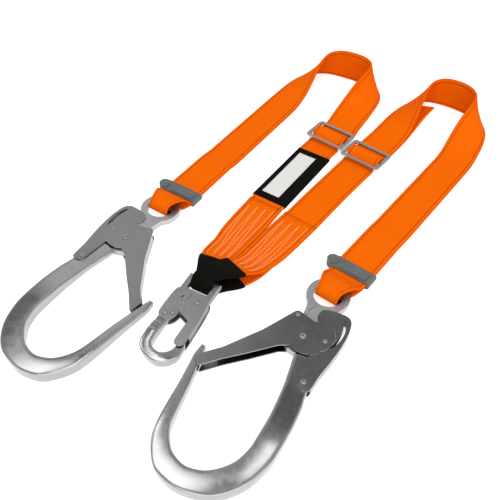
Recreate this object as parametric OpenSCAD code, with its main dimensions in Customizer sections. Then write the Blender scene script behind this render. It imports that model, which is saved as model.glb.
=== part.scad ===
// Twin-leg adjustable webbing lanyard with two scaffold hooks and one snap hook.
// It lies on the floor: the legs run along +Y, the hooks are at -Y and +Z is up.

/* [Webbing] */
// Width of the strap
webbing_width = 45; // [40:1:48]
// Thickness of one layer of strap
webbing_thickness = 1.8; // [1.5:0.1:2.2]
// Thickness of the wear sleeves and wear pads
wear_thickness = 0.9; // [0.6:0.1:1.2]

/* [Scaffold hook] */
// Thickness of the forging at the eye, the neck and under the lock lever
neck_thickness = 7; // [6:0.5:9]
// Thickness of the forging at the bow
bow_thickness = 13; // [11:0.5:14]
// Radius of the hole in the eye
eye_radius = 16; // [15:0.5:18]
// Width of the ring round the eye's hole
eye_ring = 7.5; // [6:0.5:9]
// Thickness of the gate's sheet steel
gate_sheet = 1.5; // [1:0.1:2]
// Thickness of the lock lever's sheet steel
lever_sheet = 1.2; // [1:0.1:1.6]
// How far the gate swings in, in degrees
gate_swing = 36; // [20:1:36]
// How far the lock lever is squeezed, in degrees
lever_swing = 8; // [6:0.5:8]
// Diameter of the gate's pivot rivet
gate_rivet_diameter = 5; // [4:0.5:6]
// Diameter of the lock lever's rivet
lever_rivet_diameter = 4; // [3:0.5:4.5]
// Diameter of the lock pin and of the gate's spacer rivet
lock_pin_diameter = 5; // [4:0.5:5.5]

/* [Snap hook] */
// Thickness of the snap hook's shank
shank_thickness = 7; // [6:0.5:9]
// Thickness of the snap hook's bow
snap_bow_thickness = 11; // [9:0.5:12]
// Diameter of the bar that the two legs loop round
snap_bar_diameter = 7; // [6:0.5:8]
// Clear width of the snap hook's eye
snap_eye_width = 25; // [24:0.5:28]
// Thickness of the sheet steel of the snap hook's gate and lock lever
snap_sheet = 1.2; // [1:0.1:1.5]
// How far the snap hook's gate swings in, in degrees
snap_gate_swing = 20; // [15:1:20]
// How far the snap hook's lock lever is squeezed, in degrees
snap_lever_swing = 6; // [4:0.5:6]

/* [Slide adjuster] */
// Depth of the adjuster along the strap
slide_depth = 38; // [36:1:42]
// Thickness of the adjuster's frame
slide_thickness = 3; // [2.5:0.25:3.5]
// Width of the adjuster's four frame bars
slide_bar = 4.5; // [3.5:0.5:5]
// Diameter of the adjuster's centre bar
slide_centre_bar = 4; // [3:0.5:4.5]

/* [Keeper and label] */
// Depth of the keeper along the strap
keeper_depth = 17; // [15:1:22]
// Wall of the moulded keeper
keeper_wall = 1.8; // [1.2:0.2:2.4]
// How far the keeper slides up its leg
keeper_travel = 50; // [30:5:60]
// Length of the label cover along the strap
cover_length = 110; // [90:5:114]
// Wall of the label cover
cover_wall = 0.9; // [0.6:0.1:1.2]

/* [Clearances] */
// Running gap between moving steel pieces
steel_gap = 0.2; // [0.15:0.05:0.3]
// Gap between the webbing's layers and beside the pieces on it
soft_gap = 0.3; // [0.2:0.05:0.5]

/* [Hidden] */
$fn = 48;

// Layers of webbing: half the step from one layer to the next, and their heights on the floor
half_step = (webbing_thickness + soft_gap) / 2;
low_z = webbing_thickness / 2;
high_z = low_z + 2 * half_step;
pair_z = low_z + half_step;

// Stack of the scaffold hook, from its middle plane out
lever_inside = neck_thickness / 2 + steel_gap;
lever_outside = lever_inside + lever_sheet;
gate_inside = lever_outside + steel_gap;
gate_outside = gate_inside + gate_sheet;
rivet_head = 0.6;
hook_z = max(gate_outside + rivet_head, bow_thickness / 2);

// Scaffold hook, in its own frame: the gate's pivot is the origin and the eye is at +Y
eye_y = 63;
eye_centre = [0, eye_y];
eye_outside = eye_radius + eye_ring;
lever_pivot = [23, -46];
lock_pin_at = [22, 5];
spacer_at = [-16, 22];
head_radius = norm(lock_pin_at) - lock_pin_diameter / 2 - 0.5;
lever_ratio = lever_swing / gate_swing;
pivot_play = 0.15;

// Edges of the scaffold hook's bar from the neck round the bow to the nose: inner X Y, outer X Y
// and the share of the way from the neck's thickness to the bow's
bar_route = [
    [2, -6, 27, -6, 0],
    [1, -16, 27.5, -16, 0],
    [4.5, -40, 29, -40, 0],
    [7, -54, 30.5, -54, 0.02],
    [9.5, -72, 33.5, -72, 0.3],
    [11.5, -100, 35, -100, 0.8],
    [11.5, -122, 34.3, -125, 1],
    [7.5, -141.5, 28.7, -149.5, 1],
    [-3, -157, 16.2, -170.5, 1],
    [-16, -166, -2.5, -184.5, 1],
    [-29, -169, -27, -189.5, 1],
    [-43, -165.3, -48, -185.5, 1],
    [-54.5, -155.3, -62.5, -173, 0.95],
    [-62.3, -140.5, -73, -153.5, 0.9],
    [-66, -122, -77, -129, 0.8],
    [-69.5, -100, -79.5, -103.5, 0.6],
    [-73.5, -80, -82.5, -81, 0.35],
    [-77, -64, -84.5, -64.5, 0.25],
    [-79, -55, -84, -54.5, 0.1]
];

// Gate of the scaffold hook: the outer edge that its web closes, and the outline of its arm
gate_web_edge = [[-22.6, 20], [-38.4, -11.5], [-62.4, -48.5], [-67.5, -54.4]];
gate_arm = [
    [-20.6, 24], [-38.4, -11.5], [-62.4, -48.5], [-81.5, -69.5], [-82, -72], [-76, -79], [-72, -77.5],
    [-57, -61], [-37.5, -42.3], [-16.5, -20.8], [-6, -15], [10, 0], [3, 22], [-14, 26.6]
];
// The lower cheek is cut short where the nose passes it
gate_tip_cut = [[-60, -90], [-73.5, -79], [-76.5, -62], [-90, -50], [-95, -90]];
gate_ear_at = [5, 2];
gate_ear_radius = 20.5;
spacer_boss = 5;

// Lock lever of the scaffold hook: its outline, closed by a smooth curve
lever_outline = [
    [31.6, -52.5], [33.5, -32], [36.2, -15], [38.2, 2], [39, 18], [37.8, 33], [34.5, 42],
    [28, 45.3], [18, 45], [8, 43], [3, 39], [2, 32], [6, 24], [10, 13], [12.5, 0], [15.5, -16],
    [17.6, -34], [18.6, -48], [21.5, -53], [27, -54]
];
// The crescent that shows daylight through the lever: two circles by centre X and radius
crescent_outer = [-4.5, 39.8];
crescent_inner = [-32, 63.6];
crescent_y = 20;
crescent_half = 18.5;
crescent_side = [20, 50];
// The stretch of the lever's edge that is closed by a spine
lever_spine_x = [25, 45];
lever_spine_y = [-50, 42];

// Snap hook, in its own frame: the eye's bar is the origin and the bow is at -Y
snap_gate_pivot = [9.7, -30];
snap_lever_pivot = [-14.5, -54.5];
snap_pin_at = [-4, -36];
snap_pin_diameter = 3.5;
snap_rivet_diameter = 4;
snap_lever_ratio = snap_lever_swing / snap_gate_swing;
snap_side_bar = 6;
snap_eye_depth = 13.5;
snap_half_width = snap_eye_width / 2 + snap_side_bar;
snap_lever_inside = shank_thickness / 2 + steel_gap;
snap_lever_outside = snap_lever_inside + snap_sheet;
snap_gate_inside = snap_lever_outside + steel_gap;
snap_gate_outside = snap_gate_inside + snap_sheet;

// Edges of the snap hook's bar from the shank round the bow to the nose, as in bar_route
snap_bar_route = [
    [-3, -44, -17, -44, 0],
    [-6, -54, -18.5, -54, 0],
    [-8, -65, -19.5, -65, 0],
    [-8.4, -71, -19.6, -71.5, 0.5],
    [-8.6, -77, -19.6, -78.5, 1],
    [-7.6, -88, -18.6, -92, 1],
    [-2, -95, -9.5, -103.5, 1],
    [5.5, -96.6, 6, -107.3, 1],
    [12.5, -93, 19, -102, 0.8],
    [16, -86.5, 25.6, -90, 0.3],
    [16.6, -80, 25, -80, 0],
    [16.8, -75, 22.6, -74.6, 0]
];
snap_gate_arm = [
    [18, -21], [21, -27], [23.6, -60], [24.2, -77], [20, -83], [15, -82], [12.6, -78],
    [12.6, -54], [4, -50], [-6, -45], [-8.4, -38], [-6, -26], [-1, -19.5], [10, -18.5]
];
snap_lever_outline = [
    [-21, -26], [-21.6, -40], [-21.4, -54], [-18.5, -60], [-11, -62.5], [-4.5, -58.5], [-1.5, -50],
    [-1.2, -40], [-3, -30], [-5, -22.5], [-11, -19.8], [-18, -20.5]
];

// The two legs' loops on the snap hook's bar, the left leg's inside the right leg's
wear_gap = 0.2;
sleeve_stack = webbing_thickness + 2 * (wear_thickness + wear_gap);
left_loop_radius = snap_bar_diameter / 2 + 0.4 + sleeve_stack / 2;
right_loop_radius = left_loop_radius + sleeve_stack + soft_gap;
snap_bar_z = right_loop_radius + sleeve_stack / 2 + 1.5;
snap_bar_at = [-7.7, -143, snap_bar_z];
snap_turn = 6.5;
snap_loop_width = snap_eye_width - 2 * (wear_thickness + wear_gap) - 1;
snap_tilt = asin((snap_bar_z - snap_gate_outside - rivet_head) / 100);

// Where the scaffold hooks lie: gate pivot, turn about Z and the side that is up
right_hook_at = [114.5, -142.2];
right_hook_turn = 6.6;
left_hook_at = [-122.8, -143];
left_hook_turn = 2.2;

// The far loops from the left strand to the right: X, Y and how far the strap has rolled over
far_loop = [
    [-132, 196, 0], [-134, 219, 10], [-135, 240, 31], [-133, 260, 50], [-126, 280, 66], [-114, 297, 80],
    [-97, 307, 88], [-79, 310.5, 92], [-63, 307, 99], [-50.5, 296.5, 115], [-43, 279, 142],
    [-38.5, 254, 168], [-36, 226, 178], [-34, 198, 180]
];
// The right loop is moved over and is narrower
right_loop_shift = [157, 20.4];
right_loop_squeeze = 0.045;
tail_raise = 2 * half_step;
route_steps = 4;
left_tail_stations = 3;
right_tail_stations = 5;

// Keeper: its height in layers and how far it sits from the eye's centre
keeper_slot = 2 * webbing_thickness + 3 * soft_gap;
keeper_floor = 0.1 + keeper_wall;
keeper_z = keeper_floor + soft_gap;
keeper_stud_radius = 7;
keeper_cheek = 2.8;
keeper_height = keeper_floor + keeper_slot + keeper_wall;
left_keeper_from_eye = 39.5;
right_keeper_from_eye = 48;

// Slide adjusters: place, turn about Z, and the height of the frame's middle
slide_length = webbing_width + 2 * (slide_bar + 1.2);
slide_z = slide_thickness / 2 + 3 * webbing_thickness + 3.2 * soft_gap + 1.2;
left_slide_turn = -3.5;
right_slide_at = [25.5, 152];
right_slide_turn = -4.5;
wrap_radius = slide_centre_bar / 2 + soft_gap + webbing_thickness / 2;
over_radius = wrap_radius + 2 * half_step;

// Label cover: where it starts and the line of the strap under it
cover_start = [-31.6, 12];
cover_turn = 1.3;
cover_middle = cover_wall + soft_gap + 0.1 + low_z;
left_slide_at = cover_start + turned(cover_turn, [1.9, cover_length + 40]);

// Small helpers
function unit(v) = v / norm(v);
function turned(a, p) = [p.x * cos(a) - p.y * sin(a), p.x * sin(a) + p.y * cos(a)];
function xyz(s) = [s[0], s[1], s[2]];
function width_way(s) = [s[3], s[4], s[5]];

// Smooth curve through stations of any number of values, with n steps to a stretch
function gap_to_next(p, i) = norm([p[i + 1][0] - p[i][0], p[i + 1][1] - p[i][1],
    len(p[i]) > 5 ? p[i + 1][2] - p[i][2] : 0]);
function slope(p, i) = (p[i + 1] - p[i]) / gap_to_next(p, i);
function calm(a, b, ga, gb) = a * b <= 0 ? 0 : 3 * (ga + gb) / ((ga + 2 * gb) / a + (2 * ga + gb) / b);
function lean(p, i) =
    i == 0 ? slope(p, 0)
    : i == len(p) - 1 ? slope(p, i - 1)
    : let (a = slope(p, i - 1), b = slope(p, i), ga = gap_to_next(p, i - 1), gb = gap_to_next(p, i))
        [for (k = [0 : len(a) - 1]) calm(a[k], b[k], ga, gb)];
function between(a, b, la, lb, d, t) =
    a * (2 * t ^ 3 - 3 * t ^ 2 + 1) + la * d * (t ^ 3 - 2 * t ^ 2 + t)
    + b * (3 * t ^ 2 - 2 * t ^ 3) + lb * d * (t ^ 3 - t ^ 2);
function smooth(p, n) = concat(
    [for (i = [0 : len(p) - 2]) for (k = [0 : n - 1])
        between(p[i], p[i + 1], lean(p, i), lean(p, i + 1), gap_to_next(p, i), k / n)],
    [p[len(p) - 1]]);
function closed(p, n) =
    let (q = concat([p[len(p) - 1]], p, [p[0], p[1]]), s = smooth(q, n))
    [for (i = [n : len(s) - n - 2]) s[i]];
function reversed(p) = [for (i = [len(p) - 1 : -1 : 0]) p[i]];
function part_of(p, first, last) = [for (i = [first : last]) p[i]];

// Strap stations: X Y Z, direction of the width, and the width itself
function along(p, i) = unit(
    (i > 0 ? unit(xyz(p[i]) - xyz(p[i - 1])) : [0, 0, 0])
    + (i < len(p) - 1 ? unit(xyz(p[i + 1]) - xyz(p[i])) : [0, 0, 0]));
function width_of(p, i) =
    let (t = along(p, i), w = width_way(p[i])) unit(w - t * (w * t));
function face_of(p, i) = cross(along(p, i), width_of(p, i));
function squared(p) = [for (i = [0 : len(p) - 1])
    let (w = width_of(p, i)) [p[i][0], p[i][1], p[i][2], w.x, w.y, w.z, p[i][6]]];
function shifted(p, d) = [for (i = [0 : len(p) - 1])
    let (c = xyz(p[i]) + face_of(p, i) * d) [c.x, c.y, c.z, p[i][3], p[i][4], p[i][5], p[i][6]]];

// A closed solid through rings with the same number of points
function ring_sides(rings, count) = [for (i = [0 : rings - 2]) for (k = [0 : count - 1])
    let (a = i * count + k, b = i * count + (k + 1) % count) each
        [[a, b, b + count], [a, b + count, a + count]]];
function first_cap(count) = [for (k = [1 : count - 2]) [0, k + 1, k]];
function last_cap(rings, count) = [for (k = [1 : count - 2])
    [(rings - 1) * count, (rings - 1) * count + k, (rings - 1) * count + k + 1]];

module loft(rings) {
    count = len(rings[0]);
    polyhedron(
        points = [for (r = rings) each r],
        faces = concat(ring_sides(len(rings), count), first_cap(count),
            last_cap(len(rings), count)));
}

// The four corners of a strap at a station, moved out of its middle by offset
function strap_ring(p, i, thickness, offset) =
    let (n = unit(cross(along(p, i), width_way(p[i]))), c = xyz(p[i]) + n * offset,
        w = width_way(p[i]) * p[i][6] / 2, f = n * thickness / 2)
    [c - w - f, c - w + f, c + w + f, c + w - f];

// A strap's surface through rings of corners: a broad side has a point in its middle at each step
function strap_points(rings) = concat(
    [for (r = rings) each r],
    [for (i = [0 : len(rings) - 2]) for (k = [1, 3])
        (rings[i][k] + rings[i][(k + 1) % 4] + rings[i + 1][k] + rings[i + 1][(k + 1) % 4]) / 4]);
function strap_sides(count, base) = [for (i = [0 : count - 2]) for (k = [0 : 3])
    let (a = base + 4 * i + k, b = base + 4 * i + (k + 1) % 4, c = b + 4, d = a + 4,
        m = base + 4 * count + 2 * i + floor(k / 2))
    each k % 2 == 0 ? [[a, b, c], [a, c, d]] : [[a, b, m], [b, c, m], [c, d, m], [d, a, m]]];
function turned_over(faces) = [for (f = faces) [f[0], f[2], f[1]]];

module strap_solid(rings) {
    count = len(rings);
    polyhedron(
        points = strap_points(rings),
        faces = concat(strap_sides(count, 0), first_cap(4), last_cap(count, 4)));
}

module strap(p) strap_solid([for (i = [0 : len(p) - 1]) strap_ring(p, i, webbing_thickness, 0)]);

// A flat tube round a strap from one ring to another, with a wall and a gap to it
function wider(p, by) = [for (s = p) [s[0], s[1], s[2], s[3], s[4], s[5], s[6] + by]];

module strap_sleeve(p, first, last) {
    inside = webbing_thickness + 2 * wear_gap;
    outer = strap_points([for (i = [first : last])
        strap_ring(wider(p, 2 * (wear_gap + wear_thickness)), i, inside + 2 * wear_thickness, 0)]);
    inner = strap_points([for (i = [first : last]) strap_ring(wider(p, 2 * wear_gap), i, inside, 0)]);
    count = last - first + 1;
    rim = function(ring) [for (k = [0 : 3])
        let (a = 4 * ring + k, b = 4 * ring + (k + 1) % 4, c = len(outer) + b, d = len(outer) + a)
        each [[a, b, c], [a, c, d]]];
    polyhedron(
        points = concat(outer, inner),
        faces = concat(strap_sides(count, 0), turned_over(strap_sides(count, len(outer))),
            turned_over(rim(0)), rim(count - 1)));
}

// Stations of one leg
function flat(x, y, z, turn = 0, width = webbing_width) =
    [x, y, z, -cos(turn), -sin(turn), 0, width];

// Round the snap hook's bar, from under it to over it
function snap_loop(radius) = [for (a = [-90 : -22.5 : -270])
    let (u = radius * cos(a)) flat(snap_bar_at.x - u * sin(snap_turn),
        snap_bar_at.y + u * cos(snap_turn), snap_bar_z + radius * sin(a), snap_turn,
        snap_loop_width)];

// From the sewn end down to the bar, and from the bar back under it: X, Y, Z and width
function run_in(points) = [for (p = points) flat(p[0], p[1], p[2], 0, p[3])];
function run_out(points) = reversed(run_in(points));

snap_end_width = 35;
left_under = [
    [-31.5, 6, low_z + 0.1, webbing_width], [-31, -26, low_z, webbing_width],
    [-30, -56, low_z, webbing_width - 2], [-28.2, -76, low_z + 0.1, webbing_width - 6],
    [-26, -90, low_z + 1.4, 38], [-23.5, -101, low_z + 4.4, 36],
    [-20.5, -109, low_z + 6, snap_end_width], [-17, -118, low_z + 6.2, 32],
    [-12.5, -130, snap_bar_z - left_loop_radius - 0.2, 25]
];
left_over = [
    [-31.5, 6, high_z, webbing_width], [-31, -26, high_z, webbing_width],
    [-30, -56, high_z, webbing_width - 2], [-28.2, -76, high_z + 0.2, webbing_width - 6],
    [-26, -90, high_z + 2.2, 38], [-23.5, -101, high_z + 5.6, 36],
    [-20.5, -109, high_z + 8.6, snap_end_width], [-17, -118, high_z + 11.8, 32],
    [-12.5, -130, snap_bar_z + left_loop_radius - 0.8, 25]
];
right_under = [
    [18.5, 6, low_z, webbing_width], [18, -26, low_z, webbing_width],
    [17, -56, low_z, webbing_width - 2], [15.4, -76, low_z + 0.1, webbing_width - 6],
    [13.4, -90, low_z + 0.3, 38], [11.2, -101, low_z + 0.9, 36],
    [8.5, -109, low_z + 1.5, snap_end_width], [4, -118, low_z + 1.7, 32],
    [-1.5, -130, snap_bar_z - right_loop_radius - 0.4, 25]
];
right_over = [
    [18.5, 6, high_z, webbing_width], [18, -26, high_z, webbing_width],
    [17, -56, high_z, webbing_width - 2], [15.4, -76, high_z + 0.4, webbing_width - 6],
    [13.4, -90, high_z + 3.6, 38], [11.2, -101, high_z + 9.2, 36],
    [8.5, -109, high_z + 14, snap_end_width], [4, -118, high_z + 17.2, 32],
    [-1.5, -130, snap_bar_z + right_loop_radius - 0.4, 25]
];

// The right leg between the snap hook and its adjuster
right_middle = [[19.5, 44], [21, 84]];

// Over the adjuster's centre bar: distance along the strap and height over the frame's middle
slide_low = -slide_z;
function at_slide(place, turn, points) = [for (p = points)
    let (q = turned(turn, [0, p[0]]))
        flat(place.x + q.x, place.y + q.y, slide_z + p[1], turn, webbing_width - 1)];
slide_clear = slide_depth / 2 - slide_bar;
over_bar = [
    [-34, slide_low + low_z + 0.6], [-slide_clear - 6, slide_low + low_z + 1.2],
    [-slide_clear - 1, slide_low + low_z + 2.4], [-slide_clear + 4, -3.6],
    [-over_radius * 1.35, 0.6], [-over_radius * 0.72, over_radius * 0.72], [0, over_radius],
    [over_radius * 0.72, over_radius * 0.78], [7.6, 1.3], [slide_clear - 4, -1.9],
    [slide_clear + 0.6, -slide_thickness / 2 - 1.35 * soft_gap - low_z],
    [slide_clear + 8, slide_low + low_z + 4 * half_step]
];
wrapped = [
    [slide_clear + 8, slide_low + low_z + 2 * half_step],
    [slide_clear + 0.6, -slide_thickness / 2 - 1.35 * soft_gap - low_z - 2 * half_step],
    [slide_clear - 5, -3.7], [6.4, -0.9], [wrap_radius * 0.75, wrap_radius * 0.78], [0, wrap_radius],
    [-wrap_radius * 0.71, wrap_radius * 0.71], [-wrap_radius, 0],
    [-wrap_radius * 0.71, -wrap_radius * 0.71], [0, -wrap_radius],
    [4.6, -wrap_radius - 1.1], [10, slide_low + low_z + 1.6], [slide_clear + 0.6, slide_low + low_z + 0.5],
    [slide_clear + 8, slide_low + low_z + 0.1]
];

// The far loop as stations between the two layers, its lower edge on the floor or on the tail
loop_foot = 0.3;
loop_play = 0.05;
function loop_plan(shift, squeeze) =
    let (end = far_loop[len(far_loop) - 1][0])
    smooth([for (s = far_loop) [s[0] + shift.x + squeeze * (end - s[0]), s[1] + shift.y, s[2]]], route_steps);
function plan_way(p, i) =
    let (a = p[max(i - 1, 0)], b = p[min(i + 1, len(p) - 1)]) unit([b[0] - a[0], b[1] - a[1]]);
function loop_route(shift, squeeze, lift) =
    let (p = loop_plan(shift, squeeze))
    [for (i = [0 : len(p) - 1])
        let (t = plan_way(p, i), up = pair_z + (i < len(p) / 2 ? lift[0] : lift[1]), c = cos(p[i][2]),
            z = (webbing_width / 2 + loop_foot) * sin(p[i][2]) + up * abs(c) + loop_play)
        [p[i][0], p[i][1], z, -t.y * c, t.x * c, -sin(p[i][2]), webbing_width]];
left_route = squared(loop_route([0, 0], 0, [0, tail_raise]));
right_route = squared(loop_route(right_loop_shift, right_loop_squeeze, [tail_raise, 0]));

// Through a scaffold hook's eye: distance from the eye's centre along the leg, height and width
eye_strap_width = 2 * eye_radius - 5;
function eye_loop(keeper_from_eye) = [
    [keeper_from_eye + keeper_travel + 40, low_z, webbing_width],
    [keeper_from_eye + keeper_travel + 16, keeper_z + low_z, webbing_width],
    [keeper_from_eye + 20, keeper_z + low_z, webbing_width],
    [keeper_from_eye - keeper_depth / 2 - 1, keeper_z + low_z, webbing_width],
    [22, low_z + 0.1, eye_strap_width + 10],
    [15.5, low_z + 1.5, eye_strap_width + 5],
    [7, low_z + 0.6, eye_strap_width],
    [-1.5, low_z + 3.6, eye_strap_width],
    [-5, low_z + 9, eye_strap_width],
    [-2.5, low_z + 14.8, eye_strap_width],
    [4, low_z + 18.2, eye_strap_width + 3],
    [12, low_z + 18, eye_strap_width + 9],
    [19, low_z + 15.8, webbing_width - 4],
    [24.6, low_z + 11.6, webbing_width - 1],
    [keeper_from_eye - keeper_depth / 2 - 1, keeper_z + high_z, webbing_width],
    [keeper_from_eye + 20, keeper_z + high_z, webbing_width],
    [keeper_from_eye + keeper_travel + 16, keeper_z + high_z, webbing_width],
    [keeper_from_eye + keeper_travel + 40, high_z, webbing_width]
];
pad_first = 6;
pad_last = 11;
function leg_turn(eye, top) = atan2(eye.x - top.x, top.y - eye.y);
function on_leg(eye, turn, points) = [for (p = points)
    let (q = turned(turn, [0, p[0]])) flat(eye.x + q.x, eye.y + q.y, p[1], turn, p[2])];
left_eye = left_hook_at + turned(left_hook_turn, eye_centre);
right_eye = right_hook_at + turned(right_hook_turn, eye_centre);
left_leg_turn = leg_turn(left_eye, left_route[0]);
right_leg_turn = leg_turn(right_eye, right_route[len(right_route) - 1]);
left_eye_stations = squared(smooth(on_leg(left_eye, left_leg_turn, eye_loop(left_keeper_from_eye)), 2));
right_eye_stations = squared(smooth(on_leg(right_eye, right_leg_turn, eye_loop(right_keeper_from_eye)), 2));

// Each leg from the end sewn at the snap hook, over its adjuster, round the far loop, through the
// hook's eye, back as the second layer and round the adjuster's centre bar to the sewn tail
left_stations = concat(
    squared(smooth(concat(
        run_in(left_over), reversed(snap_loop(left_loop_radius)), run_out(left_under),
        [for (d = [-1, cover_length / 2, cover_length + 1])
            let (q = cover_start + turned(cover_turn, [0, d])) flat(q.x, q.y, cover_middle, cover_turn)],
        at_slide(left_slide_at, left_slide_turn, over_bar)), 2)),
    reversed(shifted(left_route, -half_step)),
    left_eye_stations,
    shifted(left_route, half_step),
    squared(smooth(at_slide(left_slide_at, left_slide_turn, wrapped), 2)),
    reversed(part_of(shifted(left_route, 3 * half_step),
        len(left_route) - left_tail_stations * route_steps, len(left_route) - 1)));
right_stations = concat(
    squared(smooth(concat(
        run_in(right_over), reversed(snap_loop(right_loop_radius)), run_out(right_under),
        [for (p = right_middle) flat(p.x, p.y, low_z + 0.1)],
        at_slide(right_slide_at, right_slide_turn, over_bar)), 2)),
    shifted(right_route, half_step),
    right_eye_stations,
    reversed(shifted(right_route, -half_step)),
    squared(smooth(at_slide(right_slide_at, right_slide_turn, wrapped), 2)),
    part_of(shifted(right_route, -3 * half_step), 0, right_tail_stations * route_steps));

// The sleeve's first and last ring on a leg
sleeve_first = 2 * 6;
sleeve_last = 2 * 20;

// Colours of the pieces
orange = [1, 0.42, 0.04];
black = [0.07, 0.07, 0.07];
grey = [0.42, 0.43, 0.43];
steel = [0.66, 0.67, 0.68];
white = [0.93, 0.93, 0.92];

module left_leg_webbing() color(orange) strap(left_stations);
module right_leg_webbing() color(orange) strap(right_stations);

module left_snap_sleeve() color(black) strap_sleeve(left_stations, sleeve_first, sleeve_last);
module right_snap_sleeve() color(black) strap_sleeve(right_stations, sleeve_first, sleeve_last);

// A pad lines the inside of the loop in a scaffold hook's eye
pad_offset = webbing_thickness / 2 + wear_gap + wear_thickness / 2;
module hook_pad(stations) {
    p = wider(stations, -1);
    color(black)
        strap_solid([for (i = [2 * pad_first : 2 * pad_last]) strap_ring(p, i, wear_thickness, -pad_offset)]);
}
module left_hook_pad() hook_pad(left_eye_stations);
module right_hook_pad() hook_pad(right_eye_stations);

// A rectangle with round corners, centred
module round_box(size, r) {
    square([size.x - 2 * r, size.y], center = true);
    square([size.x, size.y - 2 * r], center = true);
    for (sx = [-1, 1], sy = [-1, 1])
        translate([sx * (size.x / 2 - r), sy * (size.y / 2 - r)]) circle(r);
}

// Moulded keeper: a sleeve for two layers with a round stud at one end and a long raised pad on top
keeper_corner = 3;
keeper_pad_rise = 1.2;
keeper_inside = webbing_width + 2 * soft_gap;
keeper_stud_x = -keeper_inside / 2 - keeper_cheek;
module keeper(eye, turn, from_eye)
    color(grey) translate([eye.x, eye.y, 0]) rotate([0, 0, turn]) translate([0, from_eye, 0])
        difference() {
            union() {
                rotate([90, 0, 0]) linear_extrude(keeper_depth, center = true)
                    translate([0, (keeper_height + 0.1) / 2])
                        round_box([keeper_inside + 2 * keeper_cheek, keeper_height - 0.1], keeper_corner);
                translate([keeper_stud_x, 0, 0.1])
                    cylinder(r = keeper_stud_radius, h = keeper_height + keeper_pad_rise - 0.1);
                translate([keeper_stud_radius / 2, 0, keeper_height - 0.5])
                    linear_extrude(keeper_pad_rise + 0.5)
                        round_box([keeper_inside - 2 * keeper_stud_radius, keeper_depth - 4], keeper_corner);
            }
            translate([-keeper_inside / 2, -keeper_depth, keeper_floor])
                cube([keeper_inside, 2 * keeper_depth, keeper_slot]);
        }
module left_keeper() keeper(left_eye, left_leg_turn, left_keeper_from_eye);
module right_keeper() keeper(right_eye, right_leg_turn, right_keeper_from_eye);

// Three-bar slide: a flat frame and a round centre bar
slide_corner = 5;
module slide(place, turn)
    color(steel) translate([place.x, place.y, slide_z]) rotate([0, 0, turn]) {
        linear_extrude(slide_thickness, center = true)
            difference() {
                round_box([slide_length, slide_depth], slide_corner);
                round_box([slide_length - 2 * slide_bar, slide_depth - 2 * slide_bar], slide_corner / 4);
            }
        rotate([0, 90, 0])
            cylinder(d = slide_centre_bar, h = slide_length - 2 * slide_bar + 1, center = true);
    }
module left_slide() slide(left_slide_at, left_slide_turn);
module right_slide() slide(right_slide_at, right_slide_turn);

// Label cover: a flat fabric sleeve round the left strap, with a bare panel on top
cover_inside = [webbing_width + 2 * soft_gap, webbing_thickness + 2 * soft_gap];
cover_outside = cover_inside + [2 * cover_wall, 2 * cover_wall];
module on_cover() translate([cover_start.x, cover_start.y, 0]) rotate([0, 0, cover_turn]) children();
module label_cover()
    color(black) on_cover() translate([0, cover_length, cover_middle]) rotate([90, 0, 0])
        linear_extrude(cover_length)
            difference() {
                square(cover_outside, center = true);
                square(cover_inside, center = true);
            }
panel_thickness = 0.4;
panel_width = 24;
panel_margin = 10;
panel_aside = 4;
module label_panel()
    color(white) on_cover()
        translate([-panel_aside, cover_length / 2, cover_middle + cover_outside.y / 2])
            linear_extrude(panel_thickness)
                square([panel_width, cover_length - 2 * panel_margin], center = true);

// A forged bar with bevelled edges along a route of inner and outer edges
bevel = 2.4;
function bar_ring(s, thin, thick) =
    let (a = [s[0], s[1]], b = [s[2], s[3]], u = unit(b - a) * min(bevel, norm(b - a) / 3),
        h = (thin + (thick - thin) * s[4]) / 2, e = h - min(bevel, h / 2.5))
    [for (q = [[a + u, h], [b - u, h], [b, e], [b, -e], [b - u, -h], [a + u, -h], [a, -e], [a, e]])
        [q[0].x, q[0].y, q[1]]];
module forged_bar(route, steps, thin, thick)
    loft([for (s = smooth(route, steps)) bar_ring(s, thin, thick)]);

// A rectangle from one X and Y to another
module box_between(x, y) translate([x[0], y[0]]) square([x[1] - x[0], y[1] - y[0]]);

// A slot with round ends
module capsule(a, b, r) {
    translate(a) circle(r);
    translate(b) circle(r);
    side = turned(90, unit(b - a)) * r;
    polygon([a + side, b + side, b - side, a - side]);
}

// A torsion spring: one unbroken wire round +Z from z = 0, with a leg at each end
function coil_point(r, pitch, a) = [r * cos(a), r * sin(a), pitch * a / 360];
coil_steps = 16;
coil_sides = 6;
module torsion_spring(r, wire, turns, leg) {
    pitch = wire * 1.45;
    side = 360 / coil_sides;
    ring = function(c, out) [for (k = [0 : coil_sides - 1])
        c + out * wire / 2 * cos(side * k) + [0, 0, wire / 2 * sin(side * k)]];
    coil = [for (i = [0 : turns * coil_steps]) let (a = i * 360 / coil_steps)
        ring(coil_point(r, pitch, a) + [0, 0, wire / 2], [cos(a), sin(a), 0])];
    a_end = turns * 360;
    tip = coil_point(r, pitch, a_end) + [-sin(a_end), cos(a_end), 0] * leg + [0, 0, wire / 2];
    start = [r, -leg, wire / 2];
    loft(concat([ring(start, [1, 0, 0])], coil, [ring(tip, [cos(a_end), sin(a_end), 0])]));
}

// Scaffold hook pieces, in the hook's own frame
spring_pocket = neck_thickness - 2.2;
gate_spring_radius = gate_rivet_diameter / 2 + 1.6;
gate_pocket_radius = gate_spring_radius + 1;
lever_spring_radius = lever_rivet_diameter / 2 + 1.2;
lever_pocket_radius = lever_spring_radius + 0.8;
gate_wire = 1;
lever_wire = 0.8;

// The neck from the eye to the gate's pivot, and the step that clears the lock pin
neck_outline = [
    [-19, 60], [-16, 47], [-13.5, 36], [-12.5, 22], [-13, 4], [-6, -14], [8, -18],
    [12, 0], [11.5, 16], [11, 28], [12, 38], [16, 47], [19, 60], [0, 42]
];
neck_step = lock_pin_at.y - lock_pin_diameter / 2 - 0.4;

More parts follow.
